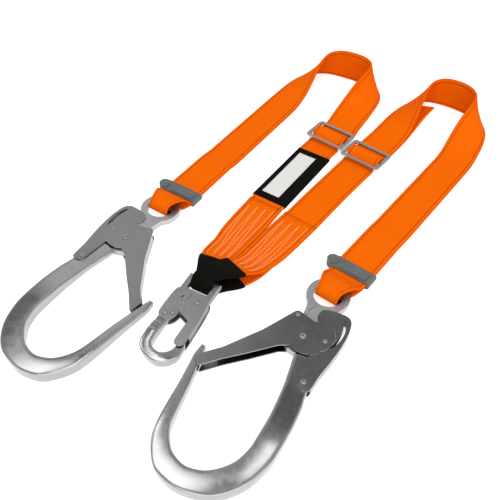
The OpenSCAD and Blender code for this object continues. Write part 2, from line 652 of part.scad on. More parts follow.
module hook_body_outline() {
    difference() {
        union() {
            translate(eye_centre) circle(eye_outside, $fn = 72);
            circle(head_radius);
            polygon(closed(neck_outline, 4));
            polygon([[4, -18], [27, -18], [26.5, neck_step], [16, neck_step]]);
        }
        translate(eye_centre) circle(eye_radius, $fn = 72);
    }
}

// The bent slit beside the neck
neck_slit = [[-6, 46], [-6.5, 41], [-9, 36], [-8.5, 27]];
neck_slit_depth = 1.2;
module neck_slit_outline() for (i = [0 : len(neck_slit) - 2]) capsule(neck_slit[i], neck_slit[i + 1], 0.5);

module hook_body() {
    difference() {
        union() {
            linear_extrude(neck_thickness, center = true) hook_body_outline();
            forged_bar(bar_route, 3, neck_thickness, bow_thickness);
        }
        cylinder(d = gate_rivet_diameter + 2 * pivot_play, h = bow_thickness, center = true);
        translate([0, 0, neck_thickness / 2 - spring_pocket])
            cylinder(r = gate_pocket_radius, h = bow_thickness);
        translate(lever_pivot) {
            cylinder(d = lever_rivet_diameter + 2 * pivot_play, h = bow_thickness, center = true);
            translate([0, 0, neck_thickness / 2 - spring_pocket])
                cylinder(r = lever_pocket_radius, h = bow_thickness);
        }
        translate([0, 0, neck_thickness / 2 - neck_slit_depth])
            linear_extrude(2 * neck_slit_depth) neck_slit_outline();
    }
}

module gate_cheek(cut) {
    difference() {
        union() {
            polygon(gate_arm);
            translate(gate_ear_at) circle(gate_ear_radius);
            translate(spacer_at) circle(spacer_boss);
        }
        circle(d = gate_rivet_diameter + 2 * pivot_play);
        translate(lock_pin_at) circle(d = lock_pin_diameter);
        translate(spacer_at) circle(d = lock_pin_diameter);
        if (cut) polygon(gate_tip_cut);
    }
}

module hook_gate() {
    web_way = [0.88, -0.48] * gate_sheet;
    translate([0, 0, gate_inside]) linear_extrude(gate_sheet) gate_cheek(false);
    translate([0, 0, -gate_outside]) linear_extrude(gate_sheet) gate_cheek(true);
    linear_extrude(2 * gate_inside + gate_sheet, center = true)
        polygon(concat(gate_web_edge, [for (p = reversed(gate_web_edge)) p + web_way]));
}

// A rivet on Z with a flat head at each end
module rivet(d, half_length, head) {
    cylinder(d = d, h = 2 * half_length + 0.2, center = true);
    for (s = [-1, 1])
        translate([0, 0, s * (half_length + head / 2)])
            cylinder(d = d + 2, h = head, center = true);
}

function cam_point(angle) =
    lever_pivot + turned(-lever_ratio * angle, turned(angle, lock_pin_at) - lever_pivot);
cam_play = 0.8;

module lever_plate() polygon(closed(lever_outline, 4));
module crescent() intersection() {
    difference() {
        translate([crescent_outer[0], crescent_y]) circle(crescent_outer[1], $fn = 96);
        translate([crescent_inner[0], crescent_y]) circle(crescent_inner[1], $fn = 96);
    }
    translate([crescent_side[0], crescent_y - crescent_half])
        square([crescent_side[1] - crescent_side[0], 2 * crescent_half]);
}

module lock_lever() {
    for (s = [-1, 1])
        translate([0, 0, s * (lever_inside + lever_sheet / 2)])
            linear_extrude(lever_sheet, center = true)
                difference() {
                    lever_plate();
                    crescent();
                    capsule(cam_point(0), cam_point(gate_swing), lock_pin_diameter / 2 + cam_play);
                    translate(lever_pivot) circle(d = lever_rivet_diameter + 2 * pivot_play);
                }
    linear_extrude(2 * lever_inside + lever_sheet, center = true)
        intersection() {
            difference() {
                lever_plate();
                translate([-lever_sheet, 0]) lever_plate();
            }
            box_between(lever_spine_x, lever_spine_y);
        }
}

pin_ease = 0.04;
module lock_pin(d, half_length) cylinder(d = d - pin_ease, h = 2 * half_length, center = true);

module place_right_hook()
    translate([right_hook_at.x, right_hook_at.y, hook_z]) rotate([0, 0, right_hook_turn]) children();
module place_left_hook()
    translate([left_hook_at.x, left_hook_at.y, hook_z]) rotate([0, 180, left_hook_turn]) children();

module gate_rivet() rivet(gate_rivet_diameter, gate_outside, rivet_head);
module lever_rivet() translate(lever_pivot) rivet(lever_rivet_diameter, lever_outside, rivet_head);
module gate_spacer() translate(spacer_at) lock_pin(lock_pin_diameter, gate_outside + rivet_head / 2);
module gate_lock_pin() translate(lock_pin_at) lock_pin(lock_pin_diameter, gate_outside);
module gate_spring()
    translate([0, 0, neck_thickness / 2 - spring_pocket + 0.2])
        torsion_spring(gate_spring_radius, gate_wire, 2.5, 2);
module lever_spring()
    translate([lever_pivot.x, lever_pivot.y, neck_thickness / 2 - spring_pocket + 0.2])
        torsion_spring(lever_spring_radius, lever_wire, 3, 1);

module left_hook_body() color(steel) place_left_hook() hook_body();
module left_hook_gate() color(steel) place_left_hook() hook_gate();
module left_gate_rivet() color(steel) place_left_hook() gate_rivet();
module left_gate_spacer() color(steel) place_left_hook() gate_spacer();
module left_lock_lever() color(steel) place_left_hook() lock_lever();
module left_lever_rivet() color(steel) place_left_hook() lever_rivet();
module left_lock_pin() color(steel) place_left_hook() gate_lock_pin();
module left_gate_spring() color(steel) place_left_hook() gate_spring();
module left_lever_spring() color(steel) place_left_hook() lever_spring();
module right_hook_body() color(steel) place_right_hook() hook_body();
module right_hook_gate() color(steel) place_right_hook() hook_gate();
module right_gate_rivet() color(steel) place_right_hook() gate_rivet();
module right_gate_spacer() color(steel) place_right_hook() gate_spacer();
module right_lock_lever() color(steel) place_right_hook() lock_lever();
module right_lever_rivet() color(steel) place_right_hook() lever_rivet();
module right_lock_pin() color(steel) place_right_hook() gate_lock_pin();
module right_gate_spring() color(steel) place_right_hook() gate_spring();
module right_lever_spring() color(steel) place_right_hook() lever_spring();

// Snap hook pieces, in the snap hook's own frame
module place_snap() translate(snap_bar_at) rotate([snap_tilt, 0, snap_turn]) children();

snap_pocket = shank_thickness - 2.2;
snap_spring_radius = snap_rivet_diameter / 2 + 1.3;
snap_pocket_radius = snap_spring_radius + 0.9;
snap_wire = 0.8;
snap_eye_floor = -snap_bar_diameter / 2 - snap_eye_depth;
snap_eye_base = 8;
snap_through = 30;
snap_shank_side = 16.5;
// The web that joins the cheeks of the snap hook's gate, and the spine of its lock lever
snap_web_at = [12.6, -76];
snap_web_length = 20;
snap_spine_x = [-24, -18];
snap_spine_y = [-52, -28];

function snap_cam_point(angle) = snap_lever_pivot + turned(snap_lever_ratio * angle,
    snap_gate_pivot + turned(-angle, snap_pin_at - snap_gate_pivot) - snap_lever_pivot);
function snap_pin_path(angle) = snap_gate_pivot + turned(-angle, snap_pin_at - snap_gate_pivot);

module snap_body() color(steel) place_snap() {
    difference() {
        union() {
            linear_extrude(shank_thickness, center = true) {
                box_between([-snap_half_width, snap_half_width], [snap_eye_floor - snap_eye_base, 0]);
                polygon([[1 - snap_shank_side, snap_eye_floor + 1 - snap_eye_base],
                    [snap_shank_side, snap_eye_floor + 1 - snap_eye_base], [snap_shank_side, -36],
                    [8, -44], [-4, -47], [-17, -47]]);
            }
            forged_bar(reversed(snap_bar_route), 3, shank_thickness, snap_bow_thickness);
            rotate([0, 90, 0]) cylinder(d = snap_bar_diameter, h = 2 * snap_half_width, center = true);
        }
        translate([0, snap_eye_floor / 2 - snap_bar_diameter / 4, 0])
            cube([snap_eye_width, snap_eye_depth, 2 * shank_thickness], center = true);
        difference() {
            translate([0, snap_bar_diameter / 2, 0])
                cube([snap_eye_width, 2 * snap_bar_diameter, 2 * shank_thickness], center = true);
            rotate([0, 90, 0]) cylinder(d = snap_bar_diameter, h = 3 * snap_half_width, center = true);
        }
        translate(snap_gate_pivot) {
            cylinder(d = snap_rivet_diameter + 2 * pivot_play, h = snap_through, center = true);
            translate([0, 0, shank_thickness / 2 - snap_pocket])
                cylinder(r = snap_pocket_radius, h = snap_through);
        }
        translate(snap_lever_pivot) {
            cylinder(d = snap_rivet_diameter + 2 * pivot_play, h = snap_through, center = true);
            translate([0, 0, shank_thickness / 2 - snap_pocket])
                cylinder(r = snap_pocket_radius, h = snap_through);
        }
        linear_extrude(snap_through, center = true)
            capsule(snap_pin_path(0), snap_pin_path(snap_gate_swing), snap_pin_diameter / 2 + 0.5);
    }
}

module snap_gate() color(steel) place_snap() {
    for (s = [-1, 1])
        translate([0, 0, s * (snap_gate_inside + snap_sheet / 2)])
            linear_extrude(snap_sheet, center = true)
                difference() {
                    polygon(closed(snap_gate_arm, 3));
                    translate(snap_gate_pivot) circle(d = snap_rivet_diameter + 2 * pivot_play);
                    translate(snap_pin_at) circle(d = snap_pin_diameter);
                }
    translate([snap_web_at.x, snap_web_at.y, -snap_gate_inside - snap_sheet / 2])
        cube([snap_sheet, snap_web_length, 2 * snap_gate_inside + snap_sheet]);
}

module snap_lock_lever() color(steel) place_snap() {
    for (s = [-1, 1])
        translate([0, 0, s * (snap_lever_inside + snap_sheet / 2)])
            linear_extrude(snap_sheet, center = true)
                difference() {
                    polygon(closed(snap_lever_outline, 3));
                    capsule(snap_cam_point(0), snap_cam_point(snap_gate_swing), snap_pin_diameter / 2 + 0.6);
                    translate(snap_lever_pivot) circle(d = snap_rivet_diameter + 2 * pivot_play);
                }
    linear_extrude(2 * snap_lever_inside + snap_sheet, center = true)
        intersection() {
            difference() {
                polygon(closed(snap_lever_outline, 3));
                translate([snap_sheet, 0]) polygon(closed(snap_lever_outline, 3));
            }
            box_between(snap_spine_x, snap_spine_y);
        }
}

module snap_gate_rivet()
    color(steel) place_snap() translate(snap_gate_pivot)
        rivet(snap_rivet_diameter, snap_gate_outside, rivet_head);
module snap_lever_rivet()
    color(steel) place_snap() translate(snap_lever_pivot)
        rivet(snap_rivet_diameter, snap_lever_outside, rivet_head);
module snap_lock_pin()
    color(steel) place_snap() translate(snap_pin_at) lock_pin(snap_pin_diameter, snap_gate_outside);
module snap_gate_spring()
    color(steel) place_snap()
        translate([snap_gate_pivot.x, snap_gate_pivot.y, shank_thickness / 2 - snap_pocket + 0.2])
            torsion_spring(snap_spring_radius, snap_wire, 3, 1);
module snap_lever_spring()
    color(steel) place_snap()
        translate([snap_lever_pivot.x, snap_lever_pivot.y, shank_thickness / 2 - snap_pocket + 0.2])
            torsion_spring(snap_spring_radius, snap_wire, 3, 1);

left_leg_webbing();
right_leg_webbing();
left_snap_sleeve();
right_snap_sleeve();
left_hook_pad();
right_hook_pad();
left_keeper();
right_keeper();
left_slide();
right_slide();
label_cover();
label_panel();
left_hook_body();
left_hook_gate();
left_gate_rivet();
left_gate_spacer();
left_lock_lever();
left_lever_rivet();
left_lock_pin();
left_gate_spring();
left_lever_spring();
right_hook_body();
right_hook_gate();
right_gate_rivet();
right_gate_spacer();
right_lock_lever();
right_lever_rivet();
right_lock_pin();
right_gate_spring();
right_lever_spring();
snap_body();
snap_gate();
snap_gate_rivet();
snap_lock_lever();
snap_lever_rivet();
snap_lock_pin();
snap_gate_spring();
snap_lever_spring();
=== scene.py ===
"""Looks of the webbing lanyard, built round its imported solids.

Lengths are in millimetres until a mesh is made; MM turns them into metres.
"""
import math

import bmesh
import bpy
import numpy as np
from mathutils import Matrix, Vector, noise


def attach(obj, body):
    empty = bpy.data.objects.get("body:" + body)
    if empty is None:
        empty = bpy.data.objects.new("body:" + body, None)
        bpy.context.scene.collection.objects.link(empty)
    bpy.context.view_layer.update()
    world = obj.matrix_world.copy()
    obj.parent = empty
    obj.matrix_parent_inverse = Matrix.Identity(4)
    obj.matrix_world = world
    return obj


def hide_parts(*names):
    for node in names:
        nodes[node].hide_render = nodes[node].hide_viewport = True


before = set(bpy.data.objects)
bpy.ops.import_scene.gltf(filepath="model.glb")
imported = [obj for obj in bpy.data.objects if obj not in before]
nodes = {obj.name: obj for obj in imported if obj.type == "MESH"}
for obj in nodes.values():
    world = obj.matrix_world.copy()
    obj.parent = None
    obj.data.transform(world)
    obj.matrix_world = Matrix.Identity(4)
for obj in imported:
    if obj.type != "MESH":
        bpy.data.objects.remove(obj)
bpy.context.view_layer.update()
scene = bpy.context.scene
MM = 0.001

# Camera of the photograph
cam_data = bpy.data.cameras.new("camera")
cam_data.lens = 46.8
cam_data.sensor_width = 36.0
cam_data.clip_start = 0.01
camera = bpy.data.objects.new("camera", cam_data)
scene.collection.objects.link(camera)
camera.location = (0.292, -0.481, 0.542)
camera.rotation_euler = (math.radians(43.2), 0.0, math.radians(35.5))
scene.camera = camera
scene.view_settings.view_transform = "Standard"

# Sizes, taken from the solids'
WIDTH = 45.0
THICK = 1.8
SOFT = 0.3
WEAR = 0.9
WEAR_GAP = 0.2
# A doubled strap: half its layers' distance, and the middle heights of the lower layer, the upper and both
HALF = (THICK + SOFT) / 2
LOW = THICK / 2
HIGH = LOW + 2 * HALF
PAIR = LOW + HALF
# Scaffold hooks: place, turn in degrees, and whether the hook is turned over. Keepers: distance from the eye
HOOKS = {"left": ((-122.8, -143.0), 2.2, True), "right": ((114.5, -142.2), 6.6, False)}
HOOK_Z = 7.2
EYE_Y = 63.0
EYE_R = 16.0
KEEP = {"left": 39.5, "right": 48.0}
KEEP_WALL = 1.9
KEEP_Z = KEEP_WALL + SOFT
# Snap hook: the loops round its bar, and how it lies on its gate's rivet heads
SNAP_BAR_R = 3.5
SNAP_BAR_PLAY = 0.4
SNAP_FLOOR_GAP = 1.5
SNAP_EYE_W = 25
SNAP_OUTSIDE = 6.3
RIVET_HEAD = 0.6
SNAP_REACH = 100
STACK = THICK + 2 * (WEAR + WEAR_GAP)
LEFT_R = SNAP_BAR_R + SNAP_BAR_PLAY + STACK / 2
RIGHT_R = LEFT_R + STACK + SOFT
BAR_Z = RIGHT_R + STACK / 2 + SNAP_FLOOR_GAP
SNAP_AT = np.array([-7.7, -143.0, BAR_Z])
SNAP_TURN = 6.5
SNAP_TILT = math.degrees(math.asin((BAR_Z - SNAP_OUTSIDE - RIVET_HEAD) / SNAP_REACH))
SNAP_W = SNAP_EYE_W - 2 * (WEAR + WEAR_GAP) - 1
# Slide adjusters
SLIDE_HALF = 1.5
SLIDE_BAR_R = 2
SLIDE_LIFT = 1.2
SLIDE_Z = SLIDE_HALF + 3 * THICK + 3.2 * SOFT + SLIDE_LIFT
# Label cover and panel
COVER_AT = np.array([-31.6, 12.0])
COVER_TURN = 1.3
COVER_LEN = 110.0
COVER_W = 47.4
COVER_H = 4.2
COVER_WALL = 0.9
COVER_MID = COVER_WALL + SOFT + 0.1 + LOW
PANEL_W = 24.0
PANEL_EDGE = 10.0
PANEL_X = -4.0
PANEL_L = COVER_LEN - 2 * PANEL_EDGE


def turned(a, p):
    a = math.radians(a)
    return np.array([p[0] * math.cos(a) - p[1] * math.sin(a), p[0] * math.sin(a) + p[1] * math.cos(a)])


def unit(v):
    return v / np.linalg.norm(v)


# A strap's station is [x, y, z, its width's direction (x, y, z), its width]
def smooth(points, n, space=3):
    """A curve through stations, n steps to each, without overshoot. The first space columns are its place."""
    p = np.array(points, float)
    gap = np.linalg.norm(np.diff(p[:, :space], axis=0), axis=1)
    slope = np.diff(p, axis=0) / gap[:, None]
    lean = np.zeros_like(p)
    lean[0], lean[-1] = slope[0], slope[-1]
    for i in range(1, len(p) - 1):
        a, b, ga, gb = slope[i - 1], slope[i], gap[i - 1], gap[i]
        ok = a * b > 0
        sa, sb = np.where(ok, a, 1.0), np.where(ok, b, 1.0)
        lean[i] = np.where(ok, 3 * (ga + gb) / ((ga + 2 * gb) / sa + (2 * ga + gb) / sb), 0.0)
    out = []
    for i in range(len(p) - 1):
        for k in range(n):
            t = k / n
            out.append(p[i] * (2 * t**3 - 3 * t**2 + 1) + lean[i] * gap[i] * (t**3 - 2 * t**2 + t)
                       + p[i + 1] * (3 * t**2 - 2 * t**3) + lean[i + 1] * gap[i] * (t**3 - t**2))
    out.append(p[-1])
    return np.array(out)


def along(p):
    d = np.diff(p[:, :3], axis=0)
    d /= np.linalg.norm(d, axis=1)[:, None]
    t = np.vstack([d[:1], d[:-1] + d[1:], d[-1:]])
    return t / np.linalg.norm(t, axis=1)[:, None]


def widths(p):
    t, w = along(p), p[:, 3:6]
    w = w - t * np.sum(w * t, axis=1)[:, None]
    return w / np.linalg.norm(w, axis=1)[:, None]


def squared(p):
    q = p.copy()
    q[:, 3:6] = widths(p)
    return q


def faces(p):
    f = np.cross(along(p), p[:, 3:6])
    return f / np.linalg.norm(f, axis=1)[:, None]


def shifted(p, d):
    q = p.copy()
    q[:, :3] += faces(p) * d
    return q


def flat(x, y, z, turn=0.0, width=WIDTH):
    a = math.radians(turn)
    return [x, y, z, -math.cos(a), -math.sin(a), 0.0, width]


# The legs' routes follow the solids', apart from the far loops, which lean as in the photograph.
# Far loops: X, Y and the strap's roll in degrees
L_LOOP = [
    [-132, 196, 0], [-132, 219, 10], [-133, 240, 24], [-133, 261, 38], [-129.5, 281, 53],
    [-119.5, 298.5, 70], [-99.5, 308.5, 86.5], [-76, 311, 88], [-55, 308, 83], [-41.5, 298.5, 70],
    [-36, 279.5, 51], [-35.5, 254, 29], [-35.5, 226, 10], [-34, 198, 0]]
R_LOOP = [
    [29.4, 216.4, 0], [29.4, 239.4, 14], [28.4, 260.4, 30], [28.2, 281.4, 44], [30, 301, 57],
    [39.5, 318.5, 72], [57, 328, 86], [77.6, 329.4, 88], [97.5, 323.2, 83], [111.1, 312.4, 70],
    [117.4, 294, 51], [119.5, 271.2, 29], [121.1, 246.4, 10], [123, 218.4, 0]]
# Steps from one station to the next
FINE = 4
ROUTE_FINE = 10
# Room under a loop that stands on its edge, and under all of it
EDGE_GAP = 0.3
LOOP_GAP = 0.05


def loop_route(stations, lift):
    """The middle line of a far loop. lift raises its first and second half, to lie on another layer."""
    p = smooth(stations, ROUTE_FINE, 2)
    way = np.vstack([p[1:2] - p[:1], p[2:] - p[:-2], p[-1:] - p[-2:-1]])[:, :2]
    way /= np.linalg.norm(way, axis=1)[:, None]
    c, s = np.cos(np.radians(p[:, 2])), np.sin(np.radians(p[:, 2]))
    up = PAIR + np.where(np.arange(len(p)) < len(p) / 2, lift[0], lift[1])
    z = (WIDTH / 2 + EDGE_GAP) * s + up * np.abs(c) + LOOP_GAP
    wide = np.full(len(p), WIDTH)
    return squared(np.column_stack([p[:, 0], p[:, 1], z, -way[:, 1] * c, way[:, 0] * c, -s, wide]))


# Each leg from its stitching to the snap hook: X, Y, width, and the heights of its lower and upper layer
LOWER, UPPER = 3, 4
LEFT_LEG = [
    [-31.5, 6, 45, LOW + 0.1, HIGH], [-29.8, -26, 45, LOW, HIGH], [-28.4, -56, 43, LOW, HIGH],
    [-26.6, -76, 39, LOW + 0.1, HIGH + 0.2], [-25.5, -90, 38, LOW + 1.4, HIGH + 2.2],
    [-23.5, -101, 36, LOW + 4.4, HIGH + 5.6], [-20.5, -109, 35, LOW + 6, HIGH + 8.6],
    [-17, -118, 32, LOW + 6.2, HIGH + 11.8], [-12.5, -130, 25, BAR_Z - LEFT_R - 0.2, BAR_Z + LEFT_R - 0.8]]
RIGHT_LEG = [
    [18.5, 6, 45, LOW, HIGH], [16.8, -26, 45, LOW, HIGH], [15.4, -56, 43, LOW, HIGH],
    [13.8, -76, 39, LOW + 0.1, HIGH + 0.4], [12.9, -90, 38, LOW + 0.3, HIGH + 3.6],
    [11.2, -101, 36, LOW + 0.9, HIGH + 9.2], [8.5, -109, 35, LOW + 1.5, HIGH + 14],
    [4, -118, 32, LOW + 1.7, HIGH + 17.2], [-1.5, -130, 25, BAR_Z - RIGHT_R - 0.4, BAR_Z + RIGHT_R - 0.4]]
SNAP_STEPS = 8


def run(leg, layer):
    return [flat(p[0], p[1], p[layer], 0, p[2]) for p in leg]


def snap_loop(radius):
    """Half a turn round the snap hook's bar, from below it to above it."""
    out = []
    for k in range(SNAP_STEPS + 1):
        a = math.radians(-90 - 180 / SNAP_STEPS * k)
        q = turned(SNAP_TURN, (0, radius * math.cos(a)))
        z = BAR_Z + radius * math.sin(a)
        out.append(flat(SNAP_AT[0] + q[0], SNAP_AT[1] + q[1], z, SNAP_TURN, SNAP_W))
    return out


# Over a slide's middle bar, and round it: distance along the leg and height above the slide's middle
WRAP = SLIDE_BAR_R + SOFT + THICK / 2
OVER = WRAP + 2 * HALF
CLEAR = 14.5
LOWEST = -SLIDE_Z + LOW
UNDER_FRAME = -SLIDE_HALF - 1.35 * SOFT - LOW
SLIDE_SPREAD = 0.4
OVER_BAR = [
    [-34, LOWEST + 0.6], [-CLEAR - 6, LOWEST + 1.2], [-CLEAR - 1, LOWEST + 2.4], [-CLEAR + 4, -3.6],
    [-OVER * 1.35, 0.6], [-OVER * 0.72, OVER * 0.72], [0, OVER], [OVER * 0.72, OVER * 0.78], [7.6, 1.3],
    [CLEAR - 4, -1.9], [CLEAR + 0.6, UNDER_FRAME], [CLEAR + 8, LOWEST + 4 * HALF]]
WRAPPED = [
    [CLEAR + 8, LOWEST + 2 * HALF], [CLEAR + 0.6, UNDER_FRAME - 2 * HALF], [CLEAR - 5, -3.7], [6.4, -0.9],
    [WRAP * 0.75, WRAP * 0.78], [0, WRAP], [-WRAP * 0.71, WRAP * 0.71], [-WRAP, 0],
    [-WRAP * 0.71, -WRAP * 0.71], [0, -WRAP], [4.6, -WRAP - 1.1], [10, LOWEST + 1.6],
    [CLEAR + 0.6, LOWEST + 0.5], [CLEAR + 8, LOWEST + 0.1]]


def at_slide(place, turn, points):
    out = []
    for s, z in points:
        q = turned(turn, (0, s))
        out.append(flat(place[0] + q[0], place[1] + q[1], SLIDE_Z + z, turn, WIDTH + SLIDE_SPREAD))
    return out


def eye_loop(from_eye):
    """A leg through its keeper, round the hook's eye and back: distance from the eye, height and width."""
    w = 2 * EYE_R - 5
    low = KEEP_Z + LOW
    high = KEEP_Z + HIGH
    return [[from_eye + 90, LOW, WIDTH], [from_eye + 66, low, WIDTH], [from_eye + 20, low, WIDTH],
            [from_eye - 9.5, low, WIDTH], [22, LOW + 0.1, w + 10], [15.5, LOW + 1.5, w + 5],
            [7, LOW + 0.6, w], [-1.5, LOW + 3.6, w], [-5, LOW + 9, w], [-2.5, LOW + 14.8, w],
            [4, LOW + 18.2, w + 3], [12, LOW + 18, w + 9], [19, LOW + 15.8, 41], [24.6, LOW + 11.6, 44],
            [from_eye - 9.5, high, WIDTH], [from_eye + 20, high, WIDTH], [from_eye + 66, high, WIDTH],
            [from_eye + 90, HIGH, WIDTH]]


def on_leg(eye, turn, points):
    out = []
    for s, z, w in points:
        q = turned(turn, (0, s))
        out.append(flat(eye[0] + q[0], eye[1] + q[1], z, turn, w))
    return out


def leg_turn(eye, top):
    return math.degrees(math.atan2(eye[0] - top[0], top[1] - eye[1]))


L_ROUTE = loop_route(L_LOOP, (0, 2 * HALF))
R_ROUTE = loop_route(R_LOOP, (2 * HALF, 0))
EYES = {s: np.array(HOOKS[s][0]) + turned(HOOKS[s][1], (0, EYE_Y)) for s in HOOKS}
L_TURN = leg_turn(EYES["left"], L_ROUTE[0])
R_TURN = leg_turn(EYES["right"], R_ROUTE[-1])
L_EYE = squared(smooth(on_leg(EYES["left"], L_TURN, eye_loop(KEEP["left"])), FINE))
R_EYE = squared(smooth(on_leg(EYES["right"], R_TURN, eye_loop(KEEP["right"])), FINE))
cover_line = [COVER_AT + turned(COVER_TURN, (0, d)) for d in (-1, COVER_LEN / 2, COVER_LEN + 1)]
L_SLIDE = (COVER_AT + turned(COVER_TURN, (1.9, COVER_LEN + 40)), -3.5)
R_SLIDE = (np.array([25.5, 152.0]), -4.5)
L_ENDS = run(LEFT_LEG, UPPER) + snap_loop(LEFT_R)[::-1] + run(LEFT_LEG, LOWER)[::-1]
R_ENDS = run(RIGHT_LEG, UPPER) + snap_loop(RIGHT_R)[::-1] + run(RIGHT_LEG, LOWER)[::-1]
L_ON = [flat(q[0], q[1], COVER_MID, COVER_TURN) for q in cover_line]
R_ON = [flat(19.5, 44, LOW + 0.1), flat(21, 84, LOW + 0.1)]
L_FIRST = squared(smooth(L_ENDS + L_ON + at_slide(*L_SLIDE, OVER_BAR), FINE))
R_FIRST = squared(smooth(R_ENDS + R_ON + at_slide(*R_SLIDE, OVER_BAR), FINE))
L_WRAP = squared(smooth(at_slide(*L_SLIDE, WRAPPED), FINE))
R_WRAP = squared(smooth(at_slide(*R_SLIDE, WRAPPED), FINE))


def arc_length(p):
    return np.concatenate([[0], np.cumsum(np.linalg.norm(np.diff(p[:, :3], axis=0), axis=1))])


# Length of a step across a gap or along a thread
GAP_STEP = 3


def relaxed(pieces, spread=9.0, fade=22.0):
    """One strap from its pieces, and the row at which the last piece starts.

    The pieces marked free, and the gaps beside them, are eased into one smooth run.
    """
    rows, free = [], []
    for k, (p, loose) in enumerate(pieces):
        if k:
            a, b = rows[-1], p[0]
            n = int(np.linalg.norm(b[:3] - a[:3]) / GAP_STEP)
            rows += [a + (b - a) * j / (n + 1) for j in range(1, n + 1)]
            free += [True] * n
        rows += list(p)
        free += [loose] * len(p)
    p, free = np.array(rows), np.array(free)
    s = arc_length(p)
    held = s[~free]
    near = np.array([np.min(np.abs(held - d)) for d in s])
    out = p.copy()
    for i in np.where(free)[0]:
        w = np.exp(-0.5 * ((s - s[i]) / spread) ** 2)
        eased = (w[:, None] * p).sum(axis=0) / w.sum()
        share = min(1.0, near[i] / fade)
        out[i] = p[i] + (eased - p[i]) * share
    return squared(out), len(p) - len(pieces[-1][0])


def flipped(p):
    q = p.copy()
    q[:, 3:6] *= -1
    return q


L_TAIL = shifted(L_ROUTE, -3 * HALF)[len(L_ROUTE) - 3 * ROUTE_FINE:][::-1]
# The right leg's tail stays flatter on the floor than the loop above it, so its edge and cut end show
TAIL_LEAN = 0.46
TAIL_INWARD = 2


def slack_tail(stations):
    out = []
    for x, y, roll in stations:
        a, b = math.radians(roll), math.radians(TAIL_LEAN * roll)
        x += WIDTH / 2 * (math.cos(b) - math.cos(a))
        x += TAIL_INWARD * math.sin(a)
        out.append([x, y, TAIL_LEAN * roll])
    return out


R_TAIL = shifted(loop_route(slack_tail(R_LOOP), (2 * HALF, 0)), -3 * HALF)[:4 * ROUTE_FINE + 1]
LEFT, cut = relaxed([(flipped(L_FIRST), False), (shifted(L_ROUTE, HALF)[::-1], True), (L_EYE[::-1], False),
                     (shifted(L_ROUTE, -HALF), True), (flipped(L_WRAP), False), (L_TAIL, True)])
L_TAIL = LEFT[cut:]
RIGHT, cut = relaxed([(R_FIRST, False), (shifted(R_ROUTE, HALF), True), (flipped(R_EYE)[::-1], False),
                      (shifted(R_ROUTE, -HALF)[::-1], True), (R_WRAP, False), (R_TAIL, True)])
R_TAIL = RIGHT[cut:]


# Making meshes. Cloth ripples: how fast they change, how far they go, and the least height above the floor
RIPPLE_PITCH = 0.11
SLEEVE_RIPPLE = 0.3
FLOOR_GAP = 0.02


def new_object(name, verts, polys, material, uvs=None, smooth_shade=True):
    me = bpy.data.meshes.new(name)
    me.from_pydata([tuple(v) for v in verts], [], polys)
    me.update()
    if uvs is not None:
        layer = me.uv_layers.new(name="cloth")
        index = np.zeros(len(me.loops), np.int32)
        me.loops.foreach_get("vertex_index", index)
        layer.data.foreach_set("uv", np.array(uvs, float)[index].ravel())
    if smooth_shade:
        me.polygons.foreach_set("use_smooth", [True] * len(me.polygons))
    ob = bpy.data.objects.new(name, me)
    scene.collection.objects.link(ob)
    me.materials.append(material)
    return ob


def strap_profile(across=12, edge=4):
    """Round a strap: share of the half width, share of the half thickness, and the edge round part."""
    pts = []
    for k in range(across + 1):
        pts.append((-1 + 2 * k / across, 1.0, 0.0))
    for k in range(1, edge):
        a = math.radians(90 - 180 * k / edge)
        pts.append((1.0, math.sin(a), math.cos(a)))
    for k in range(across + 1):
        pts.append((1 - 2 * k / across, -1.0, 0.0))
    for k in range(1, edge):
        a = math.radians(270 - 180 * k / edge)
        pts.append((-1.0, math.sin(a), math.cos(a)))
    return pts


def strap_rings(p, thick, width_by=0.0, offset=0.0, profile=None, ripple=0.0, seed=0.0):
    """Rings of points round a strap, and their place on the cloth in metres."""
    profile = profile or strap_profile()
    f, s = faces(p), arc_length(p)
    rings, uvs = [], []
    for i in range(len(p)):
        half = (p[i][6] + width_by) / 2
        c = p[i][:3] + f[i] * offset
        ring, uv = [], []
        for a, b, e in profile:
            out = b * thick / 2
            side = a * (half - thick / 2) + math.copysign(e * thick / 2, a)
            q = c + p[i][3:6] * side + f[i] * out
            if ripple:
                x, y, z = q * RIPPLE_PITCH
                n = noise.noise(Vector((x + seed, y, z)))
                q = q + f[i] * b * ripple * n
                q[2] = max(q[2], FLOOR_GAP)
            ring.append(q * MM)
            uv.append((a * WIDTH / 2 * MM, s[i] * MM))
        rings.append(ring)
        uvs.append(uv)
    return rings, uvs


def skin(rings, base=0, flip=False):
    n = len(rings[0])
    polys = []
    for i in range(len(rings) - 1):
        for k in range(n):
            a, b = base + i * n + k, base + i * n + (k + 1) % n
            quad = (a, b, b + n, a + n)
            polys.append(quad[::-1] if flip else quad)
    return polys


def strap_piece(name, p, material, thick=THICK, width_by=0.0, offset=0.0):
    rings, uvs = strap_rings(p, thick, width_by, offset)
    n = len(rings[0])
    last = (len(rings) - 1) * n
    polys = skin(rings) + [tuple(range(n))[::-1], tuple(last + k for k in range(n))]
    return new_object(name, [q for r in rings for q in r], polys, material, [q for r in uvs for q in r])


